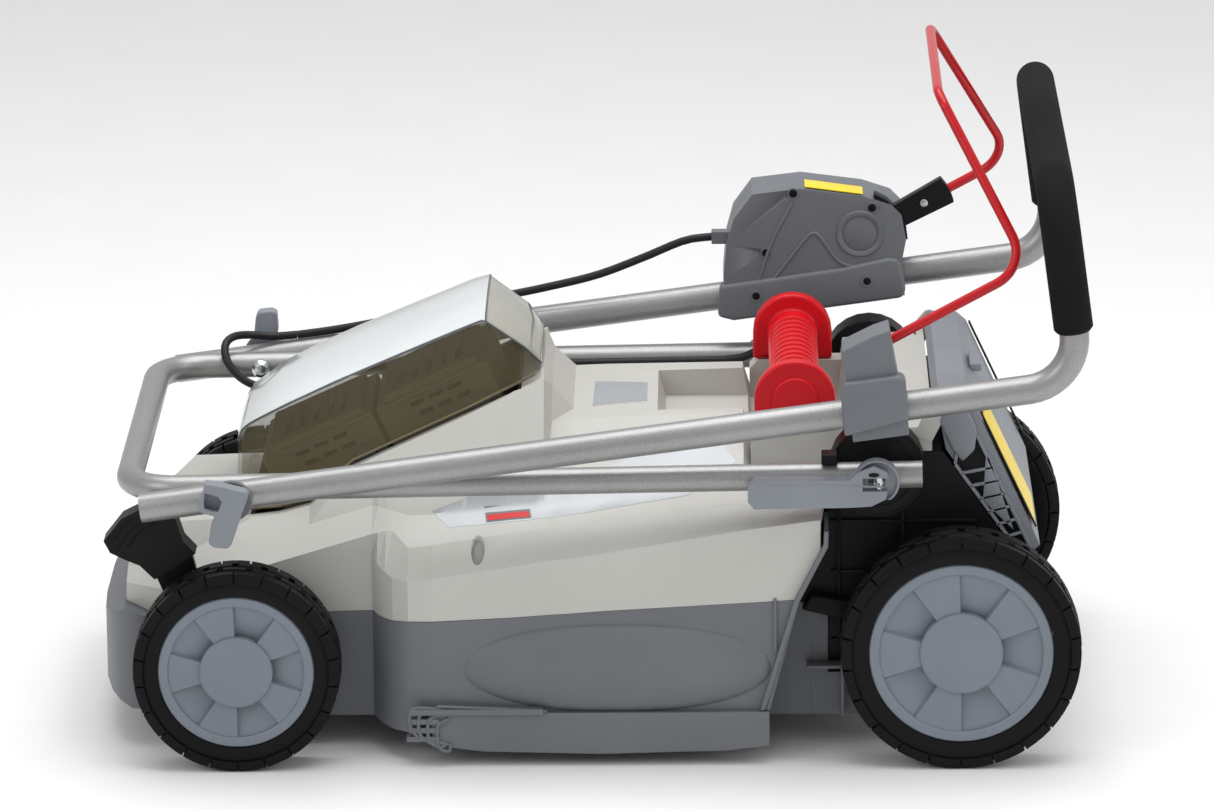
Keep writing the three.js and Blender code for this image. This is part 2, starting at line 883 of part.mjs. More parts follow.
function batteryLid() {
  const station = (x, top, wide, high, inset) => {
    const drop = Math.min(5, (top - lidBase(x)) * 0.6);
    return [
      x,
      [wide - inset, lidBase(x) - (inset ? 30 : 0)],
      [high + 8 - inset, top - drop - inset],
      [high - inset, top - 2 - inset],
      [20, top - inset],
    ];
  };
  const outer = hull([
    station(-5, 241, 86, 50, 0),
    station(2, 254.5, 90, 56, 0),
    station(30, 272.5, 91.5, 66, 0),
    station(56, 285.5, 92.5, 68, 0),
    station(92, 302, 93, 68, 0),
    station(190, 343, 92, 65, 0),
    station(202, 346, 91, 65, 0),
    station(234, 323, 86, 62, 0),
    station(247.5, 306, 80, 50, 0),
  ]);
  const inner = hull([
    station(-2, 241, 86, 50, 3),
    station(4, 254.5, 90, 56, 3),
    station(30, 272.5, 91.5, 66, 3),
    station(56, 285.5, 92.5, 68, 3),
    station(92, 302, 93, 68, 3),
    station(189, 343, 92, 65, 3),
    station(201, 346, 91, 65, 3),
    station(232, 323, 86, 62, 3),
    station(244.5, 306, 80, 50, 3),
  ]);
  return cut(outer, inner);
}

function controlBoard() {
  return block(335, 405, -42, 42, 222, 230);
}

// ---- carrying handle ------------------------------------------------------------

function carryHandle() {
  const { x, z, half, flange, bar, foot } = CARRY;
  const arch = [[x + flange, foot], ...circle(x, z, flange, 12, 0, 180), [x - flange, foot]];
  const plates = [-half, half - 13].map((y) => slab(arch, y, y + 13));
  return join(...plates, cross(x, z, bar, -half + 5, half - 5, 20));
}

// ---- rear flap --------------------------------------------------------------------

function rearFlap() {
  const { x, z } = FLAP_HINGE;
  const side = [
    [x, z - 6],
    [580.5, 250],
    [641.8, 160],
    [650, 161],
    [658, 168],
    [606, 282],
    [598, 289],
    [x, z + 7],
    [x - 5, z],
  ];
  const body = slab(side, -FLAP_HALF, FLAP_HALF);
  const hollow = slab(
    [
      [584, 236],
      [628, 160],
      [650, 168],
      [602, 276],
      [590, 276],
    ],
    -FLAP_HALF + 5,
    FLAP_HALF - 5,
  );
  return cut(body, hollow, cross(x, z, 3.4, -150, 150, 10));
}

// ---- handle -------------------------------------------------------------------------

function lowerHandle() {
  const line = bentLine(
    [
      [LOW_REAR, -LEG_LOW_Y, lowZ(LOW_REAR)],
      [LOW_FRONT, -LEG_LOW_Y, lowZ(LOW_FRONT)],
      [LOW_FRONT, LEG_LOW_Y, lowZ(LOW_FRONT)],
      [LOW_REAR, LEG_LOW_Y, lowZ(LOW_REAR)],
    ],
    42,
    6,
  );
  const tube = pipeAlong(line, TUBE_LOW, TUBE_LOW - TUBE_WALL);
  return cut(
    tube,
    cross(FOLD.x, FOLD.z, 4.4, -230, 230, 10),
    cross(CAM.x, CAM.z, 4.4, -230, 230, 10),
  );
}

// corners of the upper handle's line, from the left tube end round the grip
function upperCorners() {
  const tilt = Math.atan(UP_SLOPE);
  const topX = UP_REAR - GRIP_RISE * Math.sin(tilt);
  const topZ = upZ(UP_REAR) + GRIP_RISE * Math.cos(tilt);
  const left = [
    [UP_FRONT, -LEG_UP_Y, upZ(UP_FRONT)],
    [UP_REAR, -LEG_UP_Y, upZ(UP_REAR)],
    [topX, -LEG_UP_Y, topZ],
  ];
  return [...left, ...left.map(([x, y, z]) => [x, -y, z]).reverse()];
}

function upperHandle() {
  const tube = pipeAlong(bentLine(upperCorners(), HANDLE_BEND, 5), TUBE_UP, TUBE_UP - TUBE_WALL);
  return cut(tube, cross(FOLD.x, FOLD.z, 4.4, -240, 240, 10));
}

function foamGrip() {
  const [, elbow, top, farTop] = upperCorners();
  const startAt = new THREE.Vector3(...elbow).lerp(new THREE.Vector3(...top), 0.27);
  const start = [startAt.x, startAt.y, startAt.z];
  const end = [startAt.x, -startAt.y, startAt.z];
  const line = bentLine([start, top, farTop, end], HANDLE_BEND, 5);
  return pipeAlong(line, FOAM_RADIUS, TUBE_UP + GAP);
}

function tubeClip() {
  return block(478, 491, -199, -181, lowZ(485) + TUBE_LOW + GAP, lowZ(485) + TUBE_LOW + 9);
}

// ---- switch box ------------------------------------------------------------------------

const BOX_SIDE = [
  [399, 309],
  [404, 274],
  [555, 294],
  [552, 322],
  [556, 343],
  [552, 365],
  [543, 374],
  [519, 382],
  [466, 389],
  [424, 384],
  [408, 362],
  [402, 340],
];
const BOX_INNER = 182;
const BOX_OUTER = 243;

function switchBoxHalf(inner) {
  const [y0, y1] = inner ? [BOX_INNER, LEG_UP_Y - 0.2] : [LEG_UP_Y + 0.2, BOX_OUTER];
  const tubeLine = bentLine(upperCorners(), HANDLE_BEND, 2).slice(-2);
  const groove = rodAlong(tubeLine, TUBE_UP + 0.5, 12);
  const hollow = slab(
    [
      [410, 326],
      [546, 331],
      [549, 343],
      [546, 361],
      [538, 371],
      [517, 378],
      [467, 385],
      [427, 380],
      [413, 360],
      [410, 340],
    ],
    inner ? y0 + 2 : y0 - 1,
    inner ? y1 + 1 : y1 - 3,
  );
  const cuts = [groove, hollow];
  if (inner) {
    cuts.push(slab([[536, 327], [566, 327], [566, 392], [533, 386]], BOX_INNER + 2, 196));
    cuts.push(block(395, 415, 192, 204, 337, 349));
  } else {
    cuts.push(cross(470, 352, 9.5, BOX_OUTER - 6, BOX_OUTER + 5, 12));
  }
  return cut(slab(BOX_SIDE, y0, y1), ...cuts);
}

function lockButton() {
  return cross(470, 352, 9, BOX_OUTER - 2.6, BOX_OUTER + 5, 12);
}

function cableGland() {
  return cut(
    join(
      block(389, 416, 192.4, 203.6, 337.4, 348.6),
      block(413.5, 419, 190, 206, 335, 351),
    ),
    slab([[380, 339.2], [392, 339.2], [392, 346.8], [380, 346.8]], 194.2, 201.8),
  );
}

function bailDirection(r, side) {
  const a = THREE.MathUtils.degToRad(BAIL_ANGLE);
  const { x, z } = BAIL_PIVOT;
  return [
    x + r * Math.cos(a) - side * Math.sin(a),
    z + r * Math.sin(a) + side * Math.cos(a),
  ];
}

function bail() {
  const start = bailDirection(54, 0);
  const line = bentLine(
    [
      [start[0], BAIL_Y, start[1]],
      [BAIL_CORNER.x, BAIL_Y, BAIL_CORNER.z],
      [BAIL_TOP.x, BAIL_TOP.y, BAIL_TOP.z],
      [BAIL_TOP.x, -BAIL_TOP.y, BAIL_TOP.z],
      [BAIL_CORNER.x, -BAIL_Y, BAIL_CORNER.z],
      [BAIL_PIVOT.x, -BAIL_Y, BAIL_PIVOT.z],
      [BAIL_PIVOT.x, -BAIL_Y - 27, BAIL_PIVOT.z],
    ],
    [28, 22, 22, 28, 6],
    4,
  );
  return rodAlong(line, BAIL_RADIUS, 8);
}

function bailSocket() {
  const body = slab(
    [
      ...circle(BAIL_PIVOT.x, BAIL_PIVOT.z, 12, 8, 118, 298),
      bailDirection(30, -10),
      bailDirection(86, -12),
      bailDirection(88, 0),
      bailDirection(86, 12),
      bailDirection(30, 10),
    ],
    BAIL_Y - 5.5,
    BAIL_Y + 5.5,
  );
  const from = bailDirection(52, 0);
  const to = bailDirection(95, 0);
  const hole = rodAlong(
    [
      new THREE.Vector3(from[0], BAIL_Y, from[1]),
      new THREE.Vector3(to[0], BAIL_Y, to[1]),
    ],
    BAIL_RADIUS + 0.5,
    8,
  );
  return cut(body, hole);
}

function bailBracket() {
  const body = slab(
    [
      [503, 281],
      [548, 287],
      [546, 325],
      [540, 330],
      [532, 374],
      [520, 370],
      [494, 357],
      [499, 315],
    ],
    -234,
    -197,
  );
  const tubeLine = bentLine(upperCorners(), HANDLE_BEND, 2).slice(0, 2);
  const bore = cross(BAIL_PIVOT.x, BAIL_PIVOT.z, BAIL_RADIUS + 0.5, -220, -190, 10);
  return cut(body, rodAlong(tubeLine, TUBE_UP + 0.5, 12), bore);
}

// ---- clamps ------------------------------------------------------------------------------

function pivotDisc(side) {
  const disc = cross(CAM.x, CAM.z, 39, NARROW_HALF + 0.4, 178.5, 24);
  return forSide(side, cut(disc, cross(CAM.x, CAM.z, 4.6, 100, 200, 10)));
}

const CAM_PIN_Y = 213;

function camBolt(side) {
  const shank = cross(CAM.x, CAM.z, 4, NARROW_HALF + 1, CAM_PIN_Y, 10);
  const pin = upright(CAM.x, CAM_PIN_Y, 3.2, CAM.z - 15, CAM.z + 13, 10);
  return forSide(side, join(shank, pin));
}

function camLever(side) {
  const body = slab(
    [
      [418, 227],
      [423, 221],
      [500, 222],
      [518, 223],
      [530, 229],
      [532, 242],
      [531, 252],
      [520, 257],
      [508, 252],
      [500, 245],
      [424, 245],
      [418, 240],
    ],
    CAM_PIN_Y - 7,
    CAM_PIN_Y + 7,
  );
  const slot = block(511, 545, 200, 226, CAM.z - 5.5, CAM.z + 5.5);
  const hole = upright(CAM.x, CAM_PIN_Y, 3.7, CAM.z - 30, CAM.z + 30, 10);
  return forSide(side, cut(body, slot, hole));
}

function wingBolt(side) {
  const shank = cross(FOLD.x, FOLD.z, 4, 176, 240, 10);
  const head = turned([[0, 170.5], [5, 171.5], [8, 175], [8, 178.4], [0, 178.4]], FOLD.x, FOLD.z, 12);
  return forSide(side, join(shank, head));
}

function wingNut(side) {
  const { x, z } = FOLD;
  const washer = cross(x, z, 17, LEG_UP_Y + TUBE_UP + GAP, 230.5, 16);
  const core = cross(x, z, 11, 229, 246, 12);
  const wings = slab(
    [
      [x - 27, z + 16],
      [x - 14, z + 22],
      [x + 5, z - 8],
      [x + 9, z - 36],
      [x - 3, z - 41],
      [x - 12, z - 12],
      [x - 24, z + 4],
    ],
    234,
    249,
  );
  const nut = cut(join(washer, core, wings), cross(x, z, 4.5, 220, 242, 10));
  const turn = side > 0 ? THREE.MathUtils.degToRad(168) : 0;
  nut.translate(-x, 0, -z).rotateY(turn).translate(x, 0, z);
  return forSide(side, nut);
}

// ---- cable ---------------------------------------------------------------------------------

const cableZ = (x) => upZ(x) + TUBE_UP + CABLE_RADIUS + 0.6;

function cableUpper() {
  const route = [
    [391.5, 198, 343],
    [366, 198, 339.5],
    [330, 200, 324],
    [290, 203, 308],
    [245, 207, 296],
    [200, 210, 286],
    [150, 212, 275],
    [100, 213, cableZ(100) + 2],
    [60, 214, cableZ(60)],
    [30, 214, cableZ(30)],
  ];
  return rodAlong(smooth(route, 20), CABLE_RADIUS, 8);
}

function cableFold() {
  const route = [
    [29.6, 214, cableZ(30)],
    [8, 213, 252],
    [-12, 207, 255],
    [-25, 196, 256],
    [-31, 184, 251],
    [-28, 174, 239],
    [-16, 169, 226],
    [2, 168, 219],
    [20, 170, 224],
    [38, 174, 231.5],
    [54, 174.8, lowZ(54)],
  ];
  return rodAlong(smooth(route, 18), CABLE_RADIUS, 8);
}

function cableLower() {
  const y = LEG_LOW_Y - TUBE_LOW - CABLE_RADIUS - 0.6;
  const line = [54.4, 110, 170, 230, 290, 350, 399.6].map(
    (x) => new THREE.Vector3(x, y, lowZ(x)),
  );
  return rodAlong(line, CABLE_RADIUS, 8);
}

function cableTail() {
  const y = LEG_LOW_Y - TUBE_LOW - CABLE_RADIUS - 0.6;
  const route = [
    [400, y, lowZ(400)],
    [416, y - 1, 242],
    [432, y - 6, 251],
    [446, y - 16, 256],
    [457, y - 28, 250],
    [461, y - 36, 238],
    [462, y - 38, 229.5],
  ];
  return rodAlong(smooth(route, 11), CABLE_RADIUS, 8);
}

// ---- the whole machine -----------------------------------------------------------------------

const machine = new THREE.Group();
machine.position.x = FRONT_AXLE_X;

function add(name, geometry, look) {
  const mesh = new THREE.Mesh(geometry, new THREE.MeshStandardMaterial(look));
  mesh.name = name;
  machine.add(mesh);
}

add('deck_lower', deckLower(), GREY);
add('body_cover', bodyCover(), CREAM);
add('rear_chassis', rearChassis(), BLACK);
add('battery_bay', batteryBay(), BLACK);
add('battery_front', batteryPack(33, 101), BLACK);
add('battery_rear', batteryPack(138, 101), BLACK);
add('battery_lid', batteryLid(), SMOKE);
add('motor_housing', motorHousing(), BLACK);
add('rotor_shaft', rotorShaft(), STEEL);
add('blade_holder', bladeHolder(), BLACK);
add('blade', blade(), STEEL);
add('blade_bolt', bladeBolt(), ZINC);
add('control_board', controlBoard(), BLACK);
add('carry_handle', carryHandle(), RED);
add('rear_flap', rearFlap(), GREY);
add('flap_rod', cross(FLAP_HINGE.x, FLAP_HINGE.z, 3, -149.5, 149.5, 8), ZINC);
add('front_axle', crankedAxle(FRONT_WHEEL), STEEL);
add('rear_axle', crankedAxle(REAR_WHEEL), STEEL);
add('link_rod', linkRod(), STEEL);
add('height_lever', heightLever(), BLACK);
add('lower_handle', lowerHandle(), STEEL);
add('upper_handle', upperHandle(), STEEL);
add('foam_grip', foamGrip(), FOAM);
add('tube_clip', tubeClip(), BLACK);
add('switch_box_inner', switchBoxHalf(true), GREY);
add('switch_box_outer', switchBoxHalf(false), GREY);
add('lock_button', lockButton(), RED);
add('cable_gland', cableGland(), BLACK);
add('bail', bail(), RED);
add('bail_socket', bailSocket(), BLACK);
add('bail_bracket', bailBracket(), GREY);
add('cable_upper', cableUpper(), BLACK);
add('cable_fold', cableFold(), BLACK);
add('cable_lower', cableLower(), BLACK);
add('cable_tail', cableTail(), BLACK);

for (const [hand, side] of [['left', -1], ['right', 1]]) {
  add(`side_comb_${hand}`, sideComb(side), GREY);
  add(`pivot_disc_${hand}`, pivotDisc(side), BLACK);
  add(`cam_bolt_${hand}`, camBolt(side), ZINC);
  add(`cam_lever_${hand}`, camLever(side), GREY);
  add(`wing_bolt_${hand}`, wingBolt(side), ZINC);
  add(`wing_nut_${hand}`, wingNut(side), GREY);
  for (const [end, wheel] of [['front', FRONT_WHEEL], ['rear', REAR_WHEEL]]) {
    add(`tyre_${end}_${hand}`, tyre(side, wheel), RUBBER);
    add(`hub_${end}_${hand}`, hub(side, wheel), HUB_GREY);
    add(`hub_cap_${end}_${hand}`, hubCap(side, wheel), HUB_GREY);
  }
}

const mower = new THREE.Group();
mower.add(machine);
export default mower;
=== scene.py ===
# Cordless push lawn mower, stored with its handle folded over the deck.
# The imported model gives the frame. Lengths below are in millimetres from the
# front axle and the ground, and at() turns them into the frame's metres.

import json
import math

import bmesh
import bpy
from mathutils import Matrix, Vector
from mathutils.bvhtree import BVHTree


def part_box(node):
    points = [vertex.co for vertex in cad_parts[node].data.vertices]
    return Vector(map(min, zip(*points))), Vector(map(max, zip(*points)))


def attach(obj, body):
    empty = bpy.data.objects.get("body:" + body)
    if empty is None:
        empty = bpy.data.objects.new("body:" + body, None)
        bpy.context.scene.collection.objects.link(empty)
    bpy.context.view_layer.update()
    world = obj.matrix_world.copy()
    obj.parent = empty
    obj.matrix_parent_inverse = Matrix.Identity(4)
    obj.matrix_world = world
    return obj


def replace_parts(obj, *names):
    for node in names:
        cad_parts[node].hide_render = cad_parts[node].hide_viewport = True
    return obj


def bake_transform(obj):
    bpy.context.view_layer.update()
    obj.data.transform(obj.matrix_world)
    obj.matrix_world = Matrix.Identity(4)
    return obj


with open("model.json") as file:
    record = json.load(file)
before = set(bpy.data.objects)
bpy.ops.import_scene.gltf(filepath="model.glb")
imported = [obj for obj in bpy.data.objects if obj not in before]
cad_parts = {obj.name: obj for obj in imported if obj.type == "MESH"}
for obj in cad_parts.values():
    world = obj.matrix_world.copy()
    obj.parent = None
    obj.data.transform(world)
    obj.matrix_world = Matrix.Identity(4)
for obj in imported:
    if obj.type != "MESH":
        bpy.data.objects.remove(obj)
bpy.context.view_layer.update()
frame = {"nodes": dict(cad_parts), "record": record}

MM = 0.001
AXLE_X = sum(corner.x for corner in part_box("tyre_front_left")) / 2
NODES = frame["nodes"]
BODY_OF = {
    node: body
    for body, nodes in frame["record"]["behaviour"]["bodies"].items()
    for node in nodes
}
SLOT_OF = {part["node"]: part["material_slot"] for part in frame["record"]["subparts"]}


SIDES = (("left", -1), ("right", 1))


def at(x, y, z):
    return Vector((AXLE_X + x * MM, y * MM, z * MM))


def span(side, inner, outer):
    """The range between two distances from the middle plane, lower end first."""
    return sorted((side * inner, side * outer))


# ---- camera, light and floor ----

CAMERA_PLACE = (399, -5968, 1914)
CAMERA_TURN = -0.94
CAMERA_DOWN = 15.59
CAMERA_ROLL = -0.53
SENSOR = 36
LENS = 219.3
VIEW_DEPTH = 50

SKY_STRENGTH = 0.62
# each light's place, aim, size and power
LIGHTS = {
    "top_light": ((0.1, 0.1, 2.7), (0, 0, 0), (2.8, 2.0), 62),
    "left_light": ((-2.2, -2.2, 2.0), (0, 0, 0.2), (1.4, 1.4), 18),
    "right_light": ((2.4, -1.2, 1.4), (0.1, 0, 0.2), (0.8, 1.6), 12),
}


def make_camera():
    turn = math.radians(CAMERA_TURN)
    down = math.radians(CAMERA_DOWN)
    roll = math.radians(CAMERA_ROLL)
    flat = math.cos(down)
    ahead = Vector((math.sin(turn) * flat, math.cos(turn) * flat, -math.sin(down)))
    level = Vector((math.cos(turn), -math.sin(turn), 0))
    above = level.cross(ahead)
    right = level * math.cos(roll) + above * math.sin(roll)
    up = above * math.cos(roll) - level * math.sin(roll)
    data = bpy.data.cameras.new("camera")
    data.lens = LENS
    data.sensor_width = SENSOR
    data.clip_end = VIEW_DEPTH
    camera = bpy.data.objects.new("camera", data)
    camera.matrix_world = Matrix((right, up, -ahead)).transposed().to_4x4()
    camera.location = at(*CAMERA_PLACE)
    bpy.context.scene.collection.objects.link(camera)
    bpy.context.scene.camera = camera


def area_light(name, place, aim, size, watts):
    data = bpy.data.lights.new(name, "AREA")
    data.shape = "RECTANGLE"
    data.size, data.size_y = size
    data.energy = watts
    light = bpy.data.objects.new(name, data)
    light.location = place
    light.rotation_euler = (Vector(aim) - Vector(place)).to_track_quat("-Z", "Y").to_euler()
    bpy.context.scene.collection.objects.link(light)


def make_light():
    bpy.context.scene.view_settings.view_transform = "Standard"
    world = bpy.data.worlds.new("studio")
    world.use_nodes = True
    sky = world.node_tree.nodes["Background"]
    sky.inputs["Color"].default_value = (1, 1, 1, 1)
    sky.inputs["Strength"].default_value = SKY_STRENGTH
    bpy.context.scene.world = world
    for name, settings in LIGHTS.items():
        area_light(name, *settings)



# ---- materials ----


CLOUD_SCALE = 9
GLOSS_SCALE = 40
GLOSS_SPREAD = 0.06
GRAIN_DEPTH = 0.0004
COAT_ROUGHNESS = 0.08
FLAKE_SCALE = 1300
FLAKE_COLOUR = (0.62, 0.62, 0.61, 1)


def surface(
    name, colour, rough, metal=0.0, grain=900, bump=0.12, vary=0.06, coat=0.0, shine=0.5, alpha=1.0
):
    """A moulded or coated surface: cloudy colour, uneven gloss and fine grain."""
    made = bpy.data.materials.new(name)
    made.use_nodes = True
    tree = made.node_tree
    shader = tree.nodes["Principled BSDF"]
    shader.inputs["Metallic"].default_value = metal
    shader.inputs["Specular IOR Level"].default_value = shine
    shader.inputs["Coat Weight"].default_value = coat
    shader.inputs["Coat Roughness"].default_value = COAT_ROUGHNESS
    shader.inputs["Alpha"].default_value = alpha
    place = tree.nodes.new("ShaderNodeTexCoord")

    def noise(scale, detail):
        node = tree.nodes.new("ShaderNodeTexNoise")
        node.inputs["Scale"].default_value = scale
        node.inputs["Detail"].default_value = detail
        tree.links.new(place.outputs["Object"], node.inputs["Vector"])
        return node.outputs["Fac"]

    cloud = noise(CLOUD_SCALE, 3)
    fine = noise(grain, 2)
    ramp = tree.nodes.new("ShaderNodeValToRGB")
    dark = [c * (1 - vary) for c in colour]
    light = [min(1, c * (1 + vary)) for c in colour]
    ramp.color_ramp.elements[0].position = 0.3
    ramp.color_ramp.elements[1].position = 0.7
    ramp.color_ramp.elements[0].color = (*dark, 1)
    ramp.color_ramp.elements[1].color = (*light, 1)
    tree.links.new(cloud, ramp.inputs["Fac"])
    tree.links.new(ramp.outputs["Color"], shader.inputs["Base Color"])
    gloss = tree.nodes.new("ShaderNodeMapRange")
    gloss.inputs["To Min"].default_value = max(0.02, rough - GLOSS_SPREAD)
    gloss.inputs["To Max"].default_value = min(1, rough + GLOSS_SPREAD)
    tree.links.new(noise(GLOSS_SCALE, 3), gloss.inputs["Value"])
    tree.links.new(gloss.outputs["Result"], shader.inputs["Roughness"])
    relief = tree.nodes.new("ShaderNodeBump")
    relief.inputs["Strength"].default_value = bump
    relief.inputs["Distance"].default_value = GRAIN_DEPTH
    tree.links.new(fine, relief.inputs["Height"])
    tree.links.new(relief.outputs["Normal"], shader.inputs["Normal"])
    return made


def speckled():
    """Silver-grey coating with fine bright flakes in it."""
    made = surface("handle_tube", (0.30, 0.30, 0.30), 0.36, metal=0.6, grain=1500, bump=0.2)
    tree = made.node_tree
    shader = tree.nodes["Principled BSDF"]
    flakes = tree.nodes.new("ShaderNodeTexVoronoi")
    flakes.inputs["Scale"].default_value = FLAKE_SCALE
    place = next(node for node in tree.nodes if node.type == "TEX_COORD")
    tree.links.new(place.outputs["Object"], flakes.inputs["Vector"])
    ramp = tree.nodes.new("ShaderNodeValToRGB")
    ramp.color_ramp.elements[0].position = 0.12
    ramp.color_ramp.elements[0].color = (1, 1, 1, 1)
    ramp.color_ramp.elements[1].position = 0.28
    ramp.color_ramp.elements[1].color = (0, 0, 0, 1)
    tree.links.new(flakes.outputs["Distance"], ramp.inputs["Fac"])
    blend = tree.nodes.new("ShaderNodeMix")
    blend.data_type = "RGBA"
    base = shader.inputs["Base Color"].links[0].from_socket
    tree.links.new(ramp.outputs["Color"], blend.inputs["Factor"])
    tree.links.new(base, blend.inputs["A"])
    blend.inputs["B"].default_value = FLAKE_COLOUR
    tree.links.new(blend.outputs["Result"], shader.inputs["Base Color"])
    return made


# each surface's colour, its roughness and what sets it apart from plain moulded plastic
SURFACES = {
    "grey_plastic": ((0.125, 0.132, 0.146), 0.5, {}),
    "cream_plastic": ((0.47, 0.465, 0.435), 0.4, dict(vary=0.03)),
    # a darker copy of the cover's cream, which paints the shade on the dimples' floors
    "shaded_cream": ((0.27, 0.265, 0.245), 0.5, {}),
    "black_plastic": ((0.007, 0.007, 0.008), 0.42, dict(shine=0.14)),
    "battery_plastic": ((0.15, 0.13, 0.078), 0.5, dict(bump=0.0, shine=0.25)),
    "smoked_clear": ((0.15, 0.127, 0.068), 0.1, dict(bump=0.0, vary=0.08, shine=0.35, alpha=0.28)),
    # clear plastic made pale and nearly opaque: a painted reflection of the light above on the lid's
    # top
    "painted_reflection_clear": ((0.66, 0.69, 0.70), 0.08, dict(bump=0.0, vary=0.05, coat=0.5, alpha=0.93)),
    "olive_clear": ((0.42, 0.42, 0.36), 0.08, dict(bump=0.0, vary=0.08, coat=0.3, alpha=0.8)),
    "motor_metal": ((0.03, 0.03, 0.03), 0.4, dict(metal=0.5)),
    "bare_steel": ((0.35, 0.35, 0.36), 0.35, dict(metal=1, grain=500)),
    "blade_steel": ((0.03, 0.03, 0.03), 0.4, dict(metal=0.6)),
    "zinc": ((0.55, 0.60, 0.62), 0.22, dict(metal=1, grain=500)),
    "board_green": ((0.03, 0.16, 0.06), 0.35, {}),
    "red_plastic": ((0.58, 0.003, 0.010), 0.36, dict(bump=0.05, vary=0.04, shine=0.28)),
    "flap_plastic": ((0.20, 0.215, 0.24), 0.48, {}),
    "grip_foam": ((0.008, 0.008, 0.009), 0.85, dict(grain=1400, bump=0.5, vary=0.25, shine=0.12)),
    "box_plastic": ((0.125, 0.135, 0.15), 0.46, {}),
    "lever_plastic": ((0.20, 0.22, 0.245), 0.45, {}),
    "red_paint": ((0.46, 0.004, 0.009), 0.25, dict(bump=0.04, coat=0.12, shine=0.3)),
    "cable_sheath": ((0.010, 0.010, 0.012), 0.45, dict(vary=0.2, shine=0.3)),
    "tyre_rubber": ((0.0055, 0.0055, 0.006), 0.5, dict(grain=500, bump=0.2, vary=0.25, shine=0.12)),
    "wheel_plastic": ((0.165, 0.19, 0.225), 0.44, {}),
    "label_silver": ((0.36, 0.375, 0.39), 0.35, dict(metal=0.3, grain=600, bump=0.03, shine=0.3)),
    "label_grey": ((0.10, 0.11, 0.12), 0.4, dict(bump=0.03)),
    "label_yellow": ((0.85, 0.62, 0.02), 0.4, dict(bump=0.03)),
}
LOOKS = {name: surface(name, *main, **rest) for name, (*main, rest) in SURFACES.items()}
LOOKS["handle_tube"] = speckled()

# ---- mesh helpers ----


def finish_mesh(piece, corner_degrees=32):
    mesh = piece.data
    for face in mesh.polygons:
        face.use_smooth = True
    mesh.set_sharp_from_angle(angle=math.radians(corner_degrees))
    return piece


def new_piece(name, body, look, bm, corner_degrees=32):
    bmesh.ops.remove_doubles(bm, verts=bm.verts, dist=1e-6)
    bmesh.ops.recalc_face_normals(bm, faces=bm.faces)
    mesh = bpy.data.meshes.new(name)
    bm.to_mesh(mesh)
    bm.free()
    piece = bpy.data.objects.new(name, mesh)
    bpy.context.scene.collection.objects.link(piece)
    piece.data.materials.append(LOOKS[look])
    finish_mesh(piece, corner_degrees)
    if body:
        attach(piece, body)
    return piece


FLAT_FACE_WEIGHT = 80
BEND_STEPS = 10
CURVE_STEPS = 24
TUBE_SIDES = 28


def even_shading(piece):
    """Lets the large faces of a piece keep flat shading beside its rounded edges."""
    step = piece.modifiers.new("even_shading", "WEIGHTED_NORMAL")
    step.keep_sharp = True
    step.weight = FLAT_FACE_WEIGHT


def round_edges(bm, corner, width, segments, profile):
    """Rounds the edges at which the surface turns by more than the corner angle."""
    limit = math.radians(corner)
    edges = [e for e in bm.edges if len(e.link_faces) == 2 and e.calc_face_angle(0) > limit]
    shape = {"segments": segments, "profile": profile, "clamp_overlap": True}
    bmesh.ops.bevel(bm, geom=edges, offset=width * MM, offset_type="OFFSET", affect="EDGES", **shape)


def softened(node, width, segments=2, corner=28, shade=40):
    """A copy of a CAD node with rounded edges, which stands for that node."""
    bm = bmesh.new()
    bm.from_mesh(NODES[node].data)
    bmesh.ops.remove_doubles(bm, verts=bm.verts, dist=1e-5)
    bmesh.ops.dissolve_limit(bm, angle_limit=math.radians(0.6), verts=bm.verts, edges=bm.edges)
    round_edges(bm, corner, width, segments, 0.6)
    piece = new_piece(f"{node}_finished", BODY_OF[node], SLOT_OF[node], bm, shade)
    even_shading(piece)
    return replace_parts(piece, node)


def bent_line(points, bends):
    """A line with rounded corners, with one bend radius for each corner."""
    line = [Vector(points[0])]
    for i in range(1, len(points) - 1):
        here = Vector(points[i])
        into = (here - Vector(points[i - 1])).normalized()
        out = (Vector(points[i + 1]) - here).normalized()
        angle = into.angle(out)
        start = here - into * bends[i - 1] * math.tan(angle / 2)
        inward = (out - into * into.dot(out)).normalized()
        for k in range(BEND_STEPS + 1):
            a = angle * k / BEND_STEPS
            line.append(start + bends[i - 1] * (into * math.sin(a) + inward * (1 - math.cos(a))))
    line.append(Vector(points[-1]))
    return line


def rings_along(line, radius, sides):
    side = Vector((0, 0, 1))
    rings = []
    for i, point in enumerate(line):
        along = (line[min(i + 1, len(line) - 1)] - line[max(i - 1, 0)]).normalized()
        if abs(side.dot(along)) > 0.95:
            side = Vector((1, 0, 0))
        side = (side - along * side.dot(along)).normalized()
        other = along.cross(side)
        r = radius[i] if isinstance(radius, list) else radius
        turns = [k * math.tau / sides for k in range(sides)]
        rings.append([point + r * (side * math.cos(a) + other * math.sin(a)) for a in turns])
    return rings


def skin(bm, rings, capped=True, looped=False):
    rows = [[bm.verts.new(at(*p)) for p in ring] for ring in rings]
    pairs = list(zip(rows, rows[1:]))
    if looped:
        pairs.append((rows[-1], rows[0]))
    for a, b in pairs:
        for k in range(len(a)):
            j = (k + 1) % len(a)
            bm.faces.new((a[k], a[j], b[j], b[k]))
    if capped and not looped:
        bm.faces.new(rows[0])
        bm.faces.new(reversed(rows[-1]))


def pipe(bm, line, outer, inner):
    wall = rings_along(line, outer, TUBE_SIDES) + rings_along(line, inner, TUBE_SIDES)[::-1]
    skin(bm, wall, looped=True)


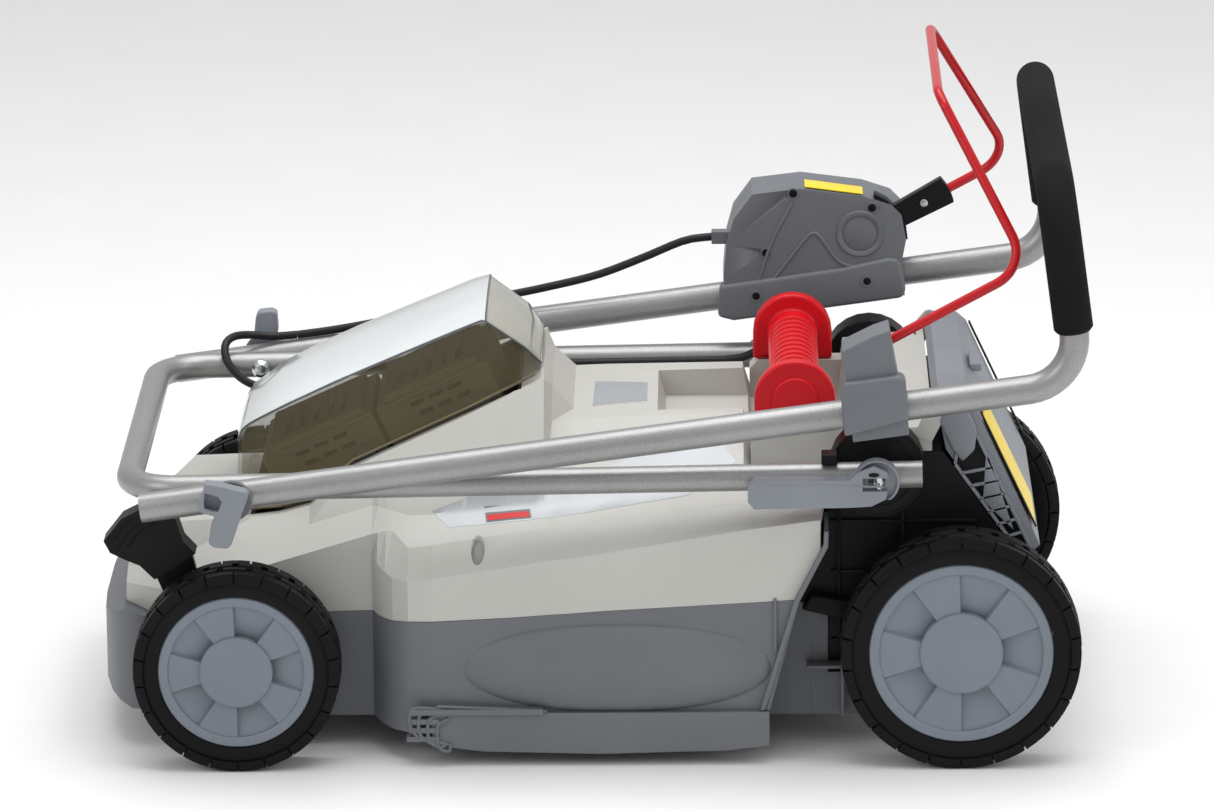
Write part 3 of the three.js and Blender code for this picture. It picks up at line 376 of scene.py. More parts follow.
def curve_points(points, count):
    """Evenly spaced points on a smooth curve through the given points."""
    p = [Vector(q) for q in points]
    p = [p[0] * 2 - p[1]] + p + [p[-1] * 2 - p[-2]]
    fine = []
    for i in range(1, len(p) - 2):
        before, here, there, after = p[i - 1 : i + 3]
        for k in range(CURVE_STEPS):
            t = k / CURVE_STEPS
            point = 2 * here + (there - before) * t
            point += (2 * before - 5 * here + 4 * there - after) * t * t
            point += (3 * here - before - 3 * there + after) * t**3
            fine.append(0.5 * point)
    fine.append(p[-2])
    lengths = [0.0]
    for a, b in zip(fine, fine[1:]):
        lengths.append(lengths[-1] + (b - a).length)
    found = []
    i = 0
    for k in range(count):
        goal = lengths[-1] * k / (count - 1)
        while i < len(fine) - 2 and lengths[i + 1] < goal:
            i += 1
        gap = lengths[i + 1] - lengths[i]
        found.append(fine[i].lerp(fine[i + 1], (goal - lengths[i]) / gap if gap else 0))
    return found


# ---- wheels ----

WHEELS = {
    "front": {"x": 0, "radius": 85, "rim": 64.4, "inner": 54, "cap": 30},
    "rear": {"x": 591.4, "radius": 98.5, "rim": 75.8, "inner": 65, "cap": 34},
}
WHEEL_IN = 181
WHEEL_OUT = 226
HUB_FACE = 222.5
HUB_BACK = 208
HUB_WEB = 204
SECTOR_WALL = 1.6
WHEEL_STEPS = 120
TREAD_COUNT = 22
TREAD_EDGE = 2.5
TREAD_STEPS = 3
SECTORS = 10
SECTOR_STEPS = 8


def wheel_ring(wheel, side, angle, profile):
    """A profile of (radius, distance from the middle) at one angle round the wheel's axle."""
    along, up = math.cos(angle), math.sin(angle)
    return [(wheel["x"] + r * along, side * y, wheel["radius"] + r * up) for r, y in profile]


def lathe(bm, wheel, side, profile):
    """A closed profile turned all the way round the wheel's axle."""
    angles = [k * math.tau / WHEEL_STEPS for k in range(WHEEL_STEPS)]
    skin(bm, [wheel_ring(wheel, side, a, profile) for a in angles], looped=True)


def tread_block(bm, wheel, side, angle, width, low, high, y0, y1, drop=0.0):
    """A block of the tread from radius low to high, with its outer side at y1."""
    corners = [(low, y0), (high, y0), (high, y1 - TREAD_EDGE)]
    corners += [(high - TREAD_EDGE - drop, y1), (low, y1)]
    angles = [angle + width * (k / TREAD_STEPS - 0.5) for k in range(TREAD_STEPS + 1)]
    skin(bm, [wheel_ring(wheel, side, a, corners) for a in angles])


def make_tyre(end, hand, side):
    wheel = WHEELS[end]
    r = wheel["radius"]
    rim = wheel["rim"]
    bm = bmesh.new()
    body = [(rim, WHEEL_IN + 3), (rim + 4, WHEEL_IN + 1.5), (r - 12, WHEEL_IN + 1)]
    body += [(r - 5, WHEEL_IN + 4), (r - 3.2, WHEEL_IN + 10), (r - 3.2, WHEEL_OUT - 10)]
    body += [(r - 5, WHEEL_OUT - 4), (r - 12, WHEEL_OUT - 1.5)]
    body += [(rim + 4, WHEEL_OUT - 1.5), (rim, WHEEL_OUT - 3)]
    lathe(bm, wheel, side, body)
    pitch = math.tau / TREAD_COUNT
    shoulder, middle = pitch * 0.93, pitch * 0.78
    low, high = r - 9, r - 0.8
    for k in range(TREAD_COUNT):
        a = k * pitch
        half = a + pitch / 2
        tread_block(bm, wheel, side, a, shoulder, low, high, WHEEL_OUT - 11, WHEEL_OUT - 0.4, 3)
        tread_block(bm, wheel, side, half, middle, r - 5, r, 205, WHEEL_OUT - 12.5)
        tread_block(bm, wheel, side, a, middle, r - 5, r, WHEEL_IN + 12.5, 203)
        tread_block(bm, wheel, -side, half, shoulder, low, high, -WHEEL_IN - 11, -WHEEL_IN, 3)
    piece = new_piece(f"tyre_{end}_{hand}_tread", f"wheel_{end}_{hand}", "tyre_rubber", bm, 25)
    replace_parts(piece, f"tyre_{end}_{hand}")


def hub_height(wheel, sector, r):
    """Raised sectors lie level with the rim, and recessed ones slope in to the cap."""
    if sector % 2 == 0:
        return HUB_FACE - 1.2
    share = (r - wheel["cap"]) / (wheel["inner"] - wheel["cap"])
    return HUB_FACE - 8 + 4.5 * share


def make_hub(end, hand, side):
    wheel = WHEELS[end]
    rim = wheel["rim"] - 0.4
    cap, inner = wheel["cap"], wheel["inner"]
    bm = bmesh.new()
    face = [(inner + 0.8, HUB_FACE - 9), (inner + 1.6, HUB_FACE - 0.7), (inner + 2.6, HUB_FACE)]
    face += [(rim - 1.2, HUB_FACE), (rim, HUB_FACE - 1.2), (rim, WHEEL_IN + 5)]
    face += [(rim - 6, WHEEL_IN + 5), (rim - 9, HUB_WEB)]
    lathe(bm, wheel, side, face)
    core = [(6.3, 190), (20, 190), (24, HUB_WEB), (rim - 8, HUB_WEB), (rim - 8, 209), (6.3, 212)]
    lathe(bm, wheel, side, core)
    radii = [cap - 2, cap + 2, (cap + inner) / 2, inner + 1.4]
    back = [(radii[-1], HUB_BACK), (radii[0], HUB_BACK)]
    pitch = math.tau / SECTORS
    wall = math.radians(SECTOR_WALL)
    rings = []
    for sector in range(SECTORS):
        start = math.pi / 2 + sector * pitch + wall
        top = [(r, hub_height(wheel, sector, r)) for r in radii]
        for k in range(SECTOR_STEPS + 1):
            a = start + (pitch - wall) * k / SECTOR_STEPS
            rings.append(wheel_ring(wheel, side, a, top + back))
    skin(bm, rings, looped=True)
    piece = new_piece(f"hub_{end}_{hand}_spokes", f"wheel_{end}_{hand}", "wheel_plastic", bm, 25)
    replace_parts(piece, f"hub_{end}_{hand}")


def make_cap(end, hand, side):
    wheel = WHEELS[end]
    cap = wheel["cap"]
    bm = bmesh.new()
    profile = [(0.01, 216.4), (cap, 216.4), (cap, 222.6), (cap - 0.6, 223.6)]
    profile += [(cap - 2, 224.2), (cap - 3, 224.3), (3, 224.9), (0.01, 224.9)]
    lathe(bm, wheel, side, profile)
    piece = new_piece(f"hub_cap_{end}_{hand}_disc", f"wheel_{end}_{hand}", "wheel_plastic", bm, 25)
    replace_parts(piece, f"hub_cap_{end}_{hand}")


# ---- handle tubes, grip and bail ----

LEG_LOW_Y = 190
LEG_UP_Y = 214
TUBE_LOW = 11
TUBE_UP = 12
TUBE_WALL = 1.6
TUBE_GAP = 0.3
FOLD_Z = 233
LOW_SLOPE = 0.0155
UP_SLOPE = 0.1335
LOW_ENDS = (-88, 560)
UP_ENDS = (-75, 686.8)
BEND = 42
GRIP_RISE = 161
FOAM_RADIUS = 16
FOAM_START = 0.27
FOAM_EDGE = 2.5
FOAM_TAPER = 3
FOAM_SIDES = 36


def low_z(x):
    return FOLD_Z + x * LOW_SLOPE


def up_z(x):
    return FOLD_Z + x * UP_SLOPE


def lower_handle():
    front, rear = LOW_ENDS
    left = [(x, -LEG_LOW_Y, low_z(x)) for x in (rear, front)]
    corners = left + [(x, -y, z) for x, y, z in reversed(left)]
    bm = bmesh.new()
    pipe(bm, bent_line(corners, [BEND, BEND]), TUBE_LOW, TUBE_LOW - TUBE_WALL)
    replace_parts(new_piece("lower_handle_tube", "lower_handle", "handle_tube", bm), "lower_handle")


def upper_corners():
    tilt = math.atan(UP_SLOPE)
    front, rear = UP_ENDS
    top_x = rear - GRIP_RISE * math.sin(tilt)
    top_z = up_z(rear) + GRIP_RISE * math.cos(tilt)
    left = [(x, -LEG_UP_Y, up_z(x)) for x in (front, rear)] + [(top_x, -LEG_UP_Y, top_z)]
    return left + [(x, -y, z) for x, y, z in reversed(left)]


def upper_handle():
    bm = bmesh.new()
    pipe(bm, bent_line(upper_corners(), [BEND] * 4), TUBE_UP, TUBE_UP - TUBE_WALL)
    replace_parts(new_piece("upper_handle_tube", "upper_handle", "handle_tube", bm), "upper_handle")


def foam_grip():
    corners = upper_corners()
    start = Vector(corners[1]).lerp(Vector(corners[2]), FOAM_START)
    end = Vector((start.x, -start.y, start.z))
    line = bent_line([start, corners[2], corners[3], end], [BEND, BEND])
    first = line[0] + (line[1] - line[0]).normalized() * FOAM_TAPER
    last = line[-1] + (line[-2] - line[-1]).normalized() * FOAM_TAPER
    line = [line[0], first] + line[1:-1] + [last, line[-1]]
    ends = [FOAM_RADIUS - FOAM_EDGE]
    radii = ends + [FOAM_RADIUS] * (len(line) - 2) + ends
    bm = bmesh.new()
    outer = rings_along(line, radii, FOAM_SIDES)
    inner = rings_along(line, TUBE_UP + TUBE_GAP, FOAM_SIDES)
    skin(bm, outer + inner[::-1], looped=True)
    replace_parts(new_piece("foam_grip_sleeve", "upper_handle", "grip_foam", bm), "foam_grip")


BAIL_PIVOT = (515.7, 345)
BAIL_Y = 190
BAIL_ANGLE = 28.5
BAIL_CORNER = (645, 415.2)
BAIL_TOP = (574, 123, 543.5)
BAIL_RADIUS = 4
BAIL_STUB = 54
BAIL_PIN = 27
BAIL_BENDS = [28, 22, 22, 28, 6]


def bail():
    tilt = math.radians(BAIL_ANGLE)
    px, pz = BAIL_PIVOT
    cx, cz = BAIL_CORNER
    tx, ty, tz = BAIL_TOP
    start = (px + BAIL_STUB * math.cos(tilt), BAIL_Y, pz + BAIL_STUB * math.sin(tilt))
    corners = [start, (cx, BAIL_Y, cz), (tx, ty, tz), (tx, -ty, tz), (cx, -BAIL_Y, cz)]
    corners += [(px, -BAIL_Y, pz), (px, -BAIL_Y - BAIL_PIN, pz)]
    bm = bmesh.new()
    line = bent_line(corners, BAIL_BENDS)
    skin(bm, rings_along(line, BAIL_RADIUS, 20))
    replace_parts(new_piece("bail_rod", "bail", "red_paint", bm), "bail")


# ---- cable ----

CABLE_RADIUS = 3.5
CABLE_GAP = 0.6
CABLE_STEPS = 40
CABLE_Y = LEG_LOW_Y - TUBE_LOW - CABLE_RADIUS - CABLE_GAP


def over_tube(x):
    return up_z(x) + TUBE_UP + CABLE_RADIUS + CABLE_GAP


def cable_routes():
    """The four stretches of the cable, from the switch box to the cover."""
    upper = [(391.5, 198, 343), (366, 198, 339.5), (330, 200, 324), (290, 203, 308)]
    upper += [(245, 207, 296), (200, 210, 286), (150, 212, 275), (100, 213, over_tube(100) + 2)]
    upper += [(60, 214, over_tube(60)), (30, 214, over_tube(30))]
    fold = [(29.6, 214, over_tube(30)), (8, 213, 252), (-12, 207, 255), (-25, 196, 256)]
    fold += [(-31, 184, 251), (-28, 174, 239), (-16, 169, 226), (2, 168, 219)]
    fold += [(20, 170, 224), (38, 174, 231.5), (54, 174.8, low_z(54))]
    lower = [(x, CABLE_Y, low_z(x)) for x in (54.4, 110, 170, 230, 290, 350, 399.6)]
    tail = [(400, 0, low_z(400)), (416, 1, 242), (432, 6, 251), (446, 16, 256)]
    tail += [(457, 28, 250), (461, 36, 238), (462, 38, 229.5)]
    tail = [(x, CABLE_Y - inward, z) for x, inward, z in tail]
    return {"upper": upper, "fold": fold, "lower": lower, "tail": tail}


def make_cables():
    routes = cable_routes()
    lines = {name: curve_points(route, CABLE_STEPS) for name, route in routes.items()}
    pieces = {}
    for name, line in lines.items():
        bm = bmesh.new()
        skin(bm, rings_along(line, CABLE_RADIUS, 16))
        body = {"upper": "upper_handle", "lower": "lower_handle"}.get(name)
        pieces[name] = new_piece(f"cable_{name}_sheath", body, "cable_sheath", bm)
        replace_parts(pieces[name], f"cable_{name}")
    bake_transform(pieces["fold"])
    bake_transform(pieces["tail"])


# ---- shapes for details ----


def merge(bm, other):
    mesh = bpy.data.meshes.new("merging")
    other.to_mesh(mesh)
    other.free()
    bm.from_mesh(mesh)
    bpy.data.meshes.remove(mesh)


def prism(bm, outline, low, high, edge=0.0, segments=2, axis="Y"):
    """An outline in x and z carried along Y, or in x and y along Z, with its edges rounded."""
    made = bmesh.new()
    ends = []
    for depth in (low, high):
        places = [(u, depth, v) if axis == "Y" else (u, v, depth) for u, v in outline]
        ends.append([made.verts.new(at(*place)) for place in places])
    first, last = ends
    made.faces.new(first)
    made.faces.new(reversed(last))
    for k in range(len(outline)):
        j = (k + 1) % len(outline)
        made.faces.new((first[j], first[k], last[k], last[j]))
    bmesh.ops.recalc_face_normals(made, faces=made.faces)
    if edge:
        round_edges(made, 25, edge, segments, 0.5)
    merge(bm, made)


def brick(bm, x, y, z, edge=0.0):
    """A box over three spans, each a (low, high) pair."""
    prism(bm, [(x[0], z[0]), (x[1], z[0]), (x[1], z[1]), (x[0], z[1])], *y, edge)


def oval(u, v, wide, high, count, degrees=360):
    """Points round an oval, or round the first part of one."""
    steps = count if degrees == 360 else count - 1
    turns = [math.radians(degrees) * k / steps for k in range(count)]
    return [(u + wide * math.cos(a), v + high * math.sin(a)) for a in turns]


def disc(bm, x, z, radius, low, high, edge=0.0):
    """A round plate that faces along Y."""
    prism(bm, oval(x, z, radius, radius, 32), low, high, edge)


def spin_profile(bm, x, z, profile, count=32):
    """A closed profile of (radius, depth) turned about a line along Y."""
    rings = []
    for k in range(count):
        a = k * math.tau / count
        rings.append([(x + r * math.cos(a), y, z + r * math.sin(a)) for r, y in profile])
    skin(bm, rings, looped=True)


def rod(bm, points, radius, sides=12, count=None):
    line = curve_points(points, count) if count else [Vector(p) for p in points]
    skin(bm, rings_along(line, radius, sides))


def carve(piece, cutter):
    """Cuts a closed shape out of a piece for good."""
    mesh = bpy.data.meshes.new("cutter")
    bmesh.ops.recalc_face_normals(cutter, faces=cutter.faces)
    cutter.to_mesh(mesh)
    cutter.free()
    tool = bpy.data.objects.new("cutter", mesh)
    bpy.context.scene.collection.objects.link(tool)
    step = piece.modifiers.new("carve", "BOOLEAN")
    step.operation = "DIFFERENCE"
    step.solver = "EXACT"
    step.use_self = True
    step.object = tool
    bpy.context.view_layer.update()
    shaped = piece.evaluated_get(bpy.context.evaluated_depsgraph_get())
    result = bpy.data.meshes.new_from_object(shaped)
    piece.modifiers.clear()
    piece.data = result
    bpy.data.objects.remove(tool)
    bpy.data.meshes.remove(mesh)
    return finish_mesh(piece)


CAST_HEIGHT = 400
STICKER_DEPTH = 0.4


def sticker(name, look, outline, cell=6, lift=0.25):
    """A thin plate that follows the finished cover, cast down onto it."""
    cover = bmesh.new()
    cover.from_mesh(bpy.data.objects["body_cover_finished"].data)
    tree = BVHTree.FromBMesh(cover)
    cover.free()
    down = Vector((0, 0, -1))
    bm = bmesh.new()
    bm.faces.new([bm.verts.new(at(x, y, CAST_HEIGHT)) for x, y in outline])
    for index in (0, 1):
        low = min(p[index] for p in outline)
        high = max(p[index] for p in outline)
        for k in range(1, int((high - low) / cell) + 1):
            place = [0, 0, CAST_HEIGHT]
            place[index] = low + k * cell
            whole = bm.verts[:] + bm.edges[:] + bm.faces[:]
            way = (1 - index, index, 0)
            bmesh.ops.bisect_plane(bm, geom=whole, plane_co=at(*place), plane_no=way)
    bmesh.ops.triangulate(bm, faces=bm.faces)
    for vert in bm.verts:
        place = tree.ray_cast(vert.co, down)[0]
        if place is not None:
            vert.co = place - down * lift * MM
    bmesh.ops.recalc_face_normals(bm, faces=bm.faces)
    shell = bmesh.ops.extrude_face_region(bm, geom=bm.faces[:])
    for part in shell["geom"]:
        if isinstance(part, bmesh.types.BMVert):
            part.co += down * (lift + STICKER_DEPTH) * MM
    new_piece(name, BODY_OF["body_cover"], look, bm, 20)


# ---- covers and deck ----


def cover_stickers():
    """The plain silver strip and its badge on each side, and the plain plate behind the lid."""
    strip = [(159, 144), (174, 162), (264, 164), (368, 155)]
    strip += [(409, 126), (396, 105), (336, 111), (290, 127)]
    badge = [(202, 146), (204, 161), (241, 161.5), (239, 147)]
    red = [(204, 153.5), (205, 159.6), (239.4, 160), (238.6, 154)]
    for hand, side in SIDES:
        sticker(f"label_strip_{hand}", "label_silver", [(x, side * y) for x, y in strip])
        sticker(f"badge_frame_{hand}", "label_grey", [(x, side * y) for x, y in badge], lift=0.5)
        sticker(f"badge_red_{hand}", "red_plastic", [(x, side * y) for x, y in red], lift=0.7)
    border = [(287, -52), (288, 30), (333, 22), (333, -44)]
    sticker("rating_plate_border", "cream_plastic", border, cell=10, lift=0.2)
    plate = [(290, -49), (291, 25), (335, 16), (335, -40)]
    sticker("rating_plate", "label_silver", plate, cell=10, lift=0.5)


DIMPLE_DEPTH = 6.4
DIMPLE_SHADE_THICKNESS = 0.8


def facet_height(x, y):
    """Height of the cover's sloping side facet beside the battery bay."""
    share = (x - 183) / 39
    return 162 + 6 * share + (204.4 - abs(y)) * 0.76


def finish_cover():
    """The cover, with an oval dimple in each side's facet and screw wells at the rear, and a darker
    cream plate on each dimple's floor that paints the shade in it.
    """
    piece = softened("body_cover", 1.8, 3, corner=9, shade=22)
    cutter = bmesh.new()
    shade_plates = bmesh.new()
    for side in (-1, 1):
        dimple = oval(197.6, side * 186, 5.6, side * 12.5, 28)
        low = [(x, y, facet_height(x, y) - DIMPLE_DEPTH) for x, y in dimple]
        high = [(x, y, 230) for x, y in dimple]
        skin(cutter, [low, high])
        skin(shade_plates, [low, [(x, y, z + DIMPLE_SHADE_THICKNESS) for x, y, z in low]])
        prism(cutter, oval(556.5, side * 128, 4.6, side * 7, 24), 275.5, 300, axis="Z")
    carve(piece, cutter)
    even_shading(piece)
    # a thin darker cream plate on each dimple's floor paints the shade in the dimple
    new_piece("dimple_painted_shade", "chassis", "shaded_cream", shade_plates, 30)


DECK_SIDE = 204.6
SWELLING_MIDDLE = (311, 82)
SWELLING_REACH = (126, 37.5)
SWELLING_HEIGHT = 15
SWELLING_ROWS = 16
SWELLING_SIDES = 72


def deck_details():
    """The swelling of each deck side, its short rib, and the rim and ledge of the slanted arch."""
    mid_x, mid_z = SWELLING_MIDDLE
    long, tall = SWELLING_REACH
    for hand, side in SIDES:
        bm = bmesh.new()
        rows = []
        for i in range(1, SWELLING_ROWS + 1):
            share = math.sin(math.pi / 2 * i / SWELLING_ROWS)
            high = SWELLING_HEIGHT * (1 - share**2) ** 0.7
            row = []
            for k in range(SWELLING_SIDES):
                a = k * math.tau / SWELLING_SIDES
                wide = math.copysign(abs(math.cos(a)) ** 0.88, math.cos(a))
                z = mid_z + tall * share * math.sin(a)
                row.append((mid_x + long * share * wide, side * (DECK_SIDE + high), z))
            rows.append(row)
        skin(bm, rows + [[(x, side * 202, z) for x, y, z in rows[-1]]])
        new_piece(f"deck_swelling_{hand}", "chassis", "grey_plastic", bm, 40)
        trim = bmesh.new()
        rib = [(438.5, 96), (441.5, 96), (441.2, 141), (438.8, 141)]
        prism(trim, rib, *span(side, 203, 207.5), 0.8)
        rim = [(427.5, 47), (431.5, 47), (459.5, 139), (483.2, 186), (483.5, 199), (480, 199)]
        rim += [(479.4, 187), (455.4, 140)]
        prism(trim, rim, *span(side, 204, 210.5), 0.6)
        inside = span(side, 151.5, 168)
        brick(trim, (466, 497), inside, (69, 71.6), 0.6)
        brick(trim, (494, 497), inside, (28, 92), 0.6)
        new_piece(f"deck_trim_{hand}", "chassis", "grey_plastic", trim, 30)


def comb_details():
    """Four bent fingers on the front of each comb, with the thin rail that they hang from."""
    for hand, side in SIDES:
        bm = bmesh.new()
        for k in range(4):
            shift = 7.5 * k
            path = [
                (168 + shift * 0.2, side * 212, 49.6 - shift * 0.35),
                (146 + shift, side * 213, 51 - shift * 0.5),
                (141 + shift, side * 213.5, 46.5 - shift * 0.5),
                (141.5 + shift, side * 213.5, 34 - shift * 0.7),
                (150 + shift, side * 213, 25 - shift * 0.5),
                (169 + shift * 0.2, side * 212, 20.5),
            ]
            rod(bm, path, 1.5, 8, 22)
        rail = [(163, side * 213, 52.5), (205, side * 213, 50.5), (253, side * 212, 47.5)]
        rod(bm, rail, 1.3, 8, 10)
        new_piece(f"comb_fingers_{hand}", "chassis", "grey_plastic", bm, 40)


RIB_WIDTH = 2.4


def chassis_details():
    """Moulded ribs on the sides and back of the black rear chassis."""
    bm = bmesh.new()
    for side in (-1, 1):
        rib = span(side, 149, 153.5)
        for x in (492, 544, 596):
            brick(bm, (x, x + RIB_WIDTH), rib, (66, 214 if x < 590 else 130), 0.5)
        for z in (88, 147, 190):
            brick(bm, (486, 596 if z < 120 else 606), rib, (z, z + RIB_WIDTH), 0.5)
        step = [(462, 118), (520, 104), (520, 122), (470, 131)]
        prism(bm, step, *span(side, 149, 163), 2, 3)
    for y in range(-120, 121, 40):
        brick(bm, (598, 604), (y - 1.3, y + 1.3), (64, 74), 0.5)
    new_piece("chassis_ribs", "chassis", "black_plastic", bm, 30)


# ---- battery bay and lid ----

BAY_TILT = math.atan2(102, 226)
BAY_FOOT = (9, 151)


def along_bay(u, w):
    """A point of the packs' own frame, u along the sloping floor and w off it."""
    x, z = BAY_FOOT
    along, up = math.cos(BAY_TILT), math.sin(BAY_TILT)
    return (x + u * along - w * up, z + u * up + w * along)


def bay_outline(u0, u1, w0, w1):
    return [along_bay(u0, w0), along_bay(u1, w0), along_bay(u1, w1), along_bay(u0, w1)]


PACK_SIDE = 61.8
# the four bars of a latch frame, each a span along the floor and a span off it
PACK_LATCH = [(72, 92, 26, 28), (72, 92, 38, 40), (72, 74, 26, 40), (90, 92, 26, 40)]


def pack_details():
    """Vent slots, a latch frame and a parting line on each side of the two packs."""
    for name, start in (("front", 33), ("rear", 138)):
        dark = bmesh.new()
        pale = bmesh.new()
        for side in (-1, 1):
            vent = span(side, PACK_SIDE, PACK_SIDE + 1.6)
            for row in range(2):
                for k in range(3):
                    u = start + 28 + 17 * k + 4 * row
                    w = 50 - 10 * row
                    prism(dark, bay_outline(u, u + 12, w, w + 3.5), *vent, 0.3)
            latch = span(side, PACK_SIDE, PACK_SIDE + 2.2)
            for u0, u1, w0, w1 in PACK_LATCH:
                bar = bay_outline(start + u0, start + u1, w0, w1)
                prism(pale, bar, *latch, 0.4)
            prism(pale, bay_outline(start + 4, start + 97, 57, 58), *latch, 0.3)
        for k in range(5):
            u = start + 22 + 13 * k
            prism(dark, bay_outline(u, u + 5, 65.6, 66.5), -34, 34, 0.3)
        new_piece(f"pack_vents_{name}", "chassis", "black_plastic", dark, 30)
        new_piece(f"pack_latches_{name}", "chassis", "label_grey", pale, 30)


LID_EDGE = 8.4
LID_PLATE = 1.2
# stations along the lid's top: x, height, and half the width of the flat part
LID_TOP = [(-5, 241, 50), (2, 254.5, 56), (30, 272.5, 66), (56, 285.5, 68)]
LID_TOP += [(92, 302, 68), (190, 343, 65), (202, 346, 65)]
LID_BACK = [(203, 345.4, 65), (234, 323, 62), (247.5, 306, 50)]


def lid_plate(name, look, stations, lift):
    """A thin plate over the lid's top, with its edges turned down a little."""
    rings = []
    for x, top, flat in stations:
        wide = flat + LID_EDGE
        profile = [(-wide, -5.2), (-flat - 4, -3.3), (-flat, -2), (-20, 0)]
        profile += [(-y, z) for y, z in reversed(profile)]
        outline = [(x, y, top + z + lift) for y, z in profile]
        under = [(x + 0.5, y * 0.985, z - lift - LID_PLATE) for x, y, z in reversed(outline)]
        rings.append(outline + under)
    plate = bmesh.new()
    skin(plate, rings)
    new_piece(name, "battery_lid", look, plate, 30)


def lid_details():
    """The lid's top plate, painted pale with the reflection of the light above it, and olive back
    plate, with thin dark lines on their edges.
    """
    # the top plate's pale colour paints the reflection of the light above
    lid_plate("lid_top_reflection_panel", "painted_reflection_clear", LID_TOP, 1.0)
    lid_plate("lid_back_panel", "olive_clear", LID_BACK, 0.6)
    lines = bmesh.new()
    for side in (-1, 1):
        rod(lines, [(x, side * (flat + 8.6), top - 5) for x, top, flat in LID_TOP], 0.8, 8, 60)
        rod(lines, [(x + 0.6, side * (flat + 8.2), top - 5) for x, top, flat in LID_BACK], 0.7, 8)
    x, top, flat = LID_TOP[-1]
    profile = [(flat + LID_EDGE, -5), (flat + 4, -3), (flat, -1.6), (20, 0.4)]
    back = [(x + 0.9, y, top + z) for y, z in profile]
    back += [(x + 0.9, -y, top + z) for y, z in reversed(profile)]
    rod(lines, back, 0.8, 8)
    new_piece("lid_edge_lines", "battery_lid", "label_grey", lines, 40)
    # a lighter brown rod along the lid's lower edge paints the highlight line on that edge
    foot_highlight = bmesh.new()
    widths = [(-4, 86), (30, 91), (56, 92), (92, 92.5), (190, 91.5), (243, 81)]
    for side in (-1, 1):
        rod(foot_highlight, [(x, side * (wide + 0.8), lid_foot(x) + 1.2) for x, wide in widths], 1.1, 8)
    new_piece("lid_foot_highlight", "battery_lid", "battery_plastic", foot_highlight, 40)


def lid_foot(x):
    """Height of the lid's lower edge, low at the front and rising in a bend."""
    if x < 30:
        return 183 + (x + 4) * 4 / 34
    if x < 56:
        return 187 + (x - 30) * 7 / 26
    if x < 92:
        return 194 + (x - 56) * 33 / 36
    return 227 + (x - 92) * 0.461


# ---- carrying handle ----

CARRY = (457.5, 283)
BAR_RADIUS = 19.5
BAR_RIBS = 12
RIB_STEPS = 16
ARCH_FOOT = 262


def carry_details():
    """Ribs across the top of the bar between two rails, and a raised arch on each flange."""
    x, z = CARRY
    bm = bmesh.new()
    for k in range(BAR_RIBS):
        y = -77 + 14 * k
        rings = []
        for step in range(RIB_STEPS + 1):
            share = step / RIB_STEPS
            a = math.radians(28 + 124 * share)
            lift = 2.1 * math.sin(math.pi * share) ** 0.35 if 0 < share < 1 else 0.05
            half = [(-1, -4.6), (lift * 0.7, -3.8), (lift, -1.8)]
            ring = []
            for rise, w in half + [(rise, -w) for rise, w in reversed(half)]:
                r = BAR_RADIUS + rise
                ring.append((x + r * math.cos(a), y + w, z + r * math.sin(a)))
            rings.append(ring)
        skin(bm, rings)
    section = [(0, 1), (1.8, 2), (2.2, 5), (0.4, 9), (-2, 9.6)]
    for way in (-1, 1):
        rail = [(x + way * (18.6 + u), z + v) for u, v in section]
        prism(bm, rail, -100, 100, 0.6)
    for side in (-1, 1):
        arch = [(x + BAR_RADIUS, ARCH_FOOT)]
        arch += oval(x, z, BAR_RADIUS, BAR_RADIUS, 25, 180)
        arch += [(x - BAR_RADIUS, ARCH_FOOT)]
        prism(bm, arch, *span(side, 112, 116.8), 2.2, 4)
    new_piece("carry_ribs", "chassis", "red_plastic", bm, 50)


# ---- switch box and bracket ----

BOX_FACE = 182
SCREW_PLACES = [(459.1, 384.5), (526.7, 371.5), (435.8, 332.1), (427.1, 294.9), (522.4, 307.7)]
BOX_BOSS = (516.4, 348.8)
BOX_EDGE = 4.0


def leg_bore(x0, x1, side):
    """The space that a leg of the upper handle takes up between two places."""
    bore = bmesh.new()
    rod(bore, [(x, side * LEG_UP_Y, up_z(x)) for x in (x0, x1)], TUBE_UP + TUBE_GAP, 24)
    return bore


def on_box(profile):
    """A profile with its depths counted from the box's outer face."""
    return [(r, BOX_FACE + depth) for r, depth in profile]


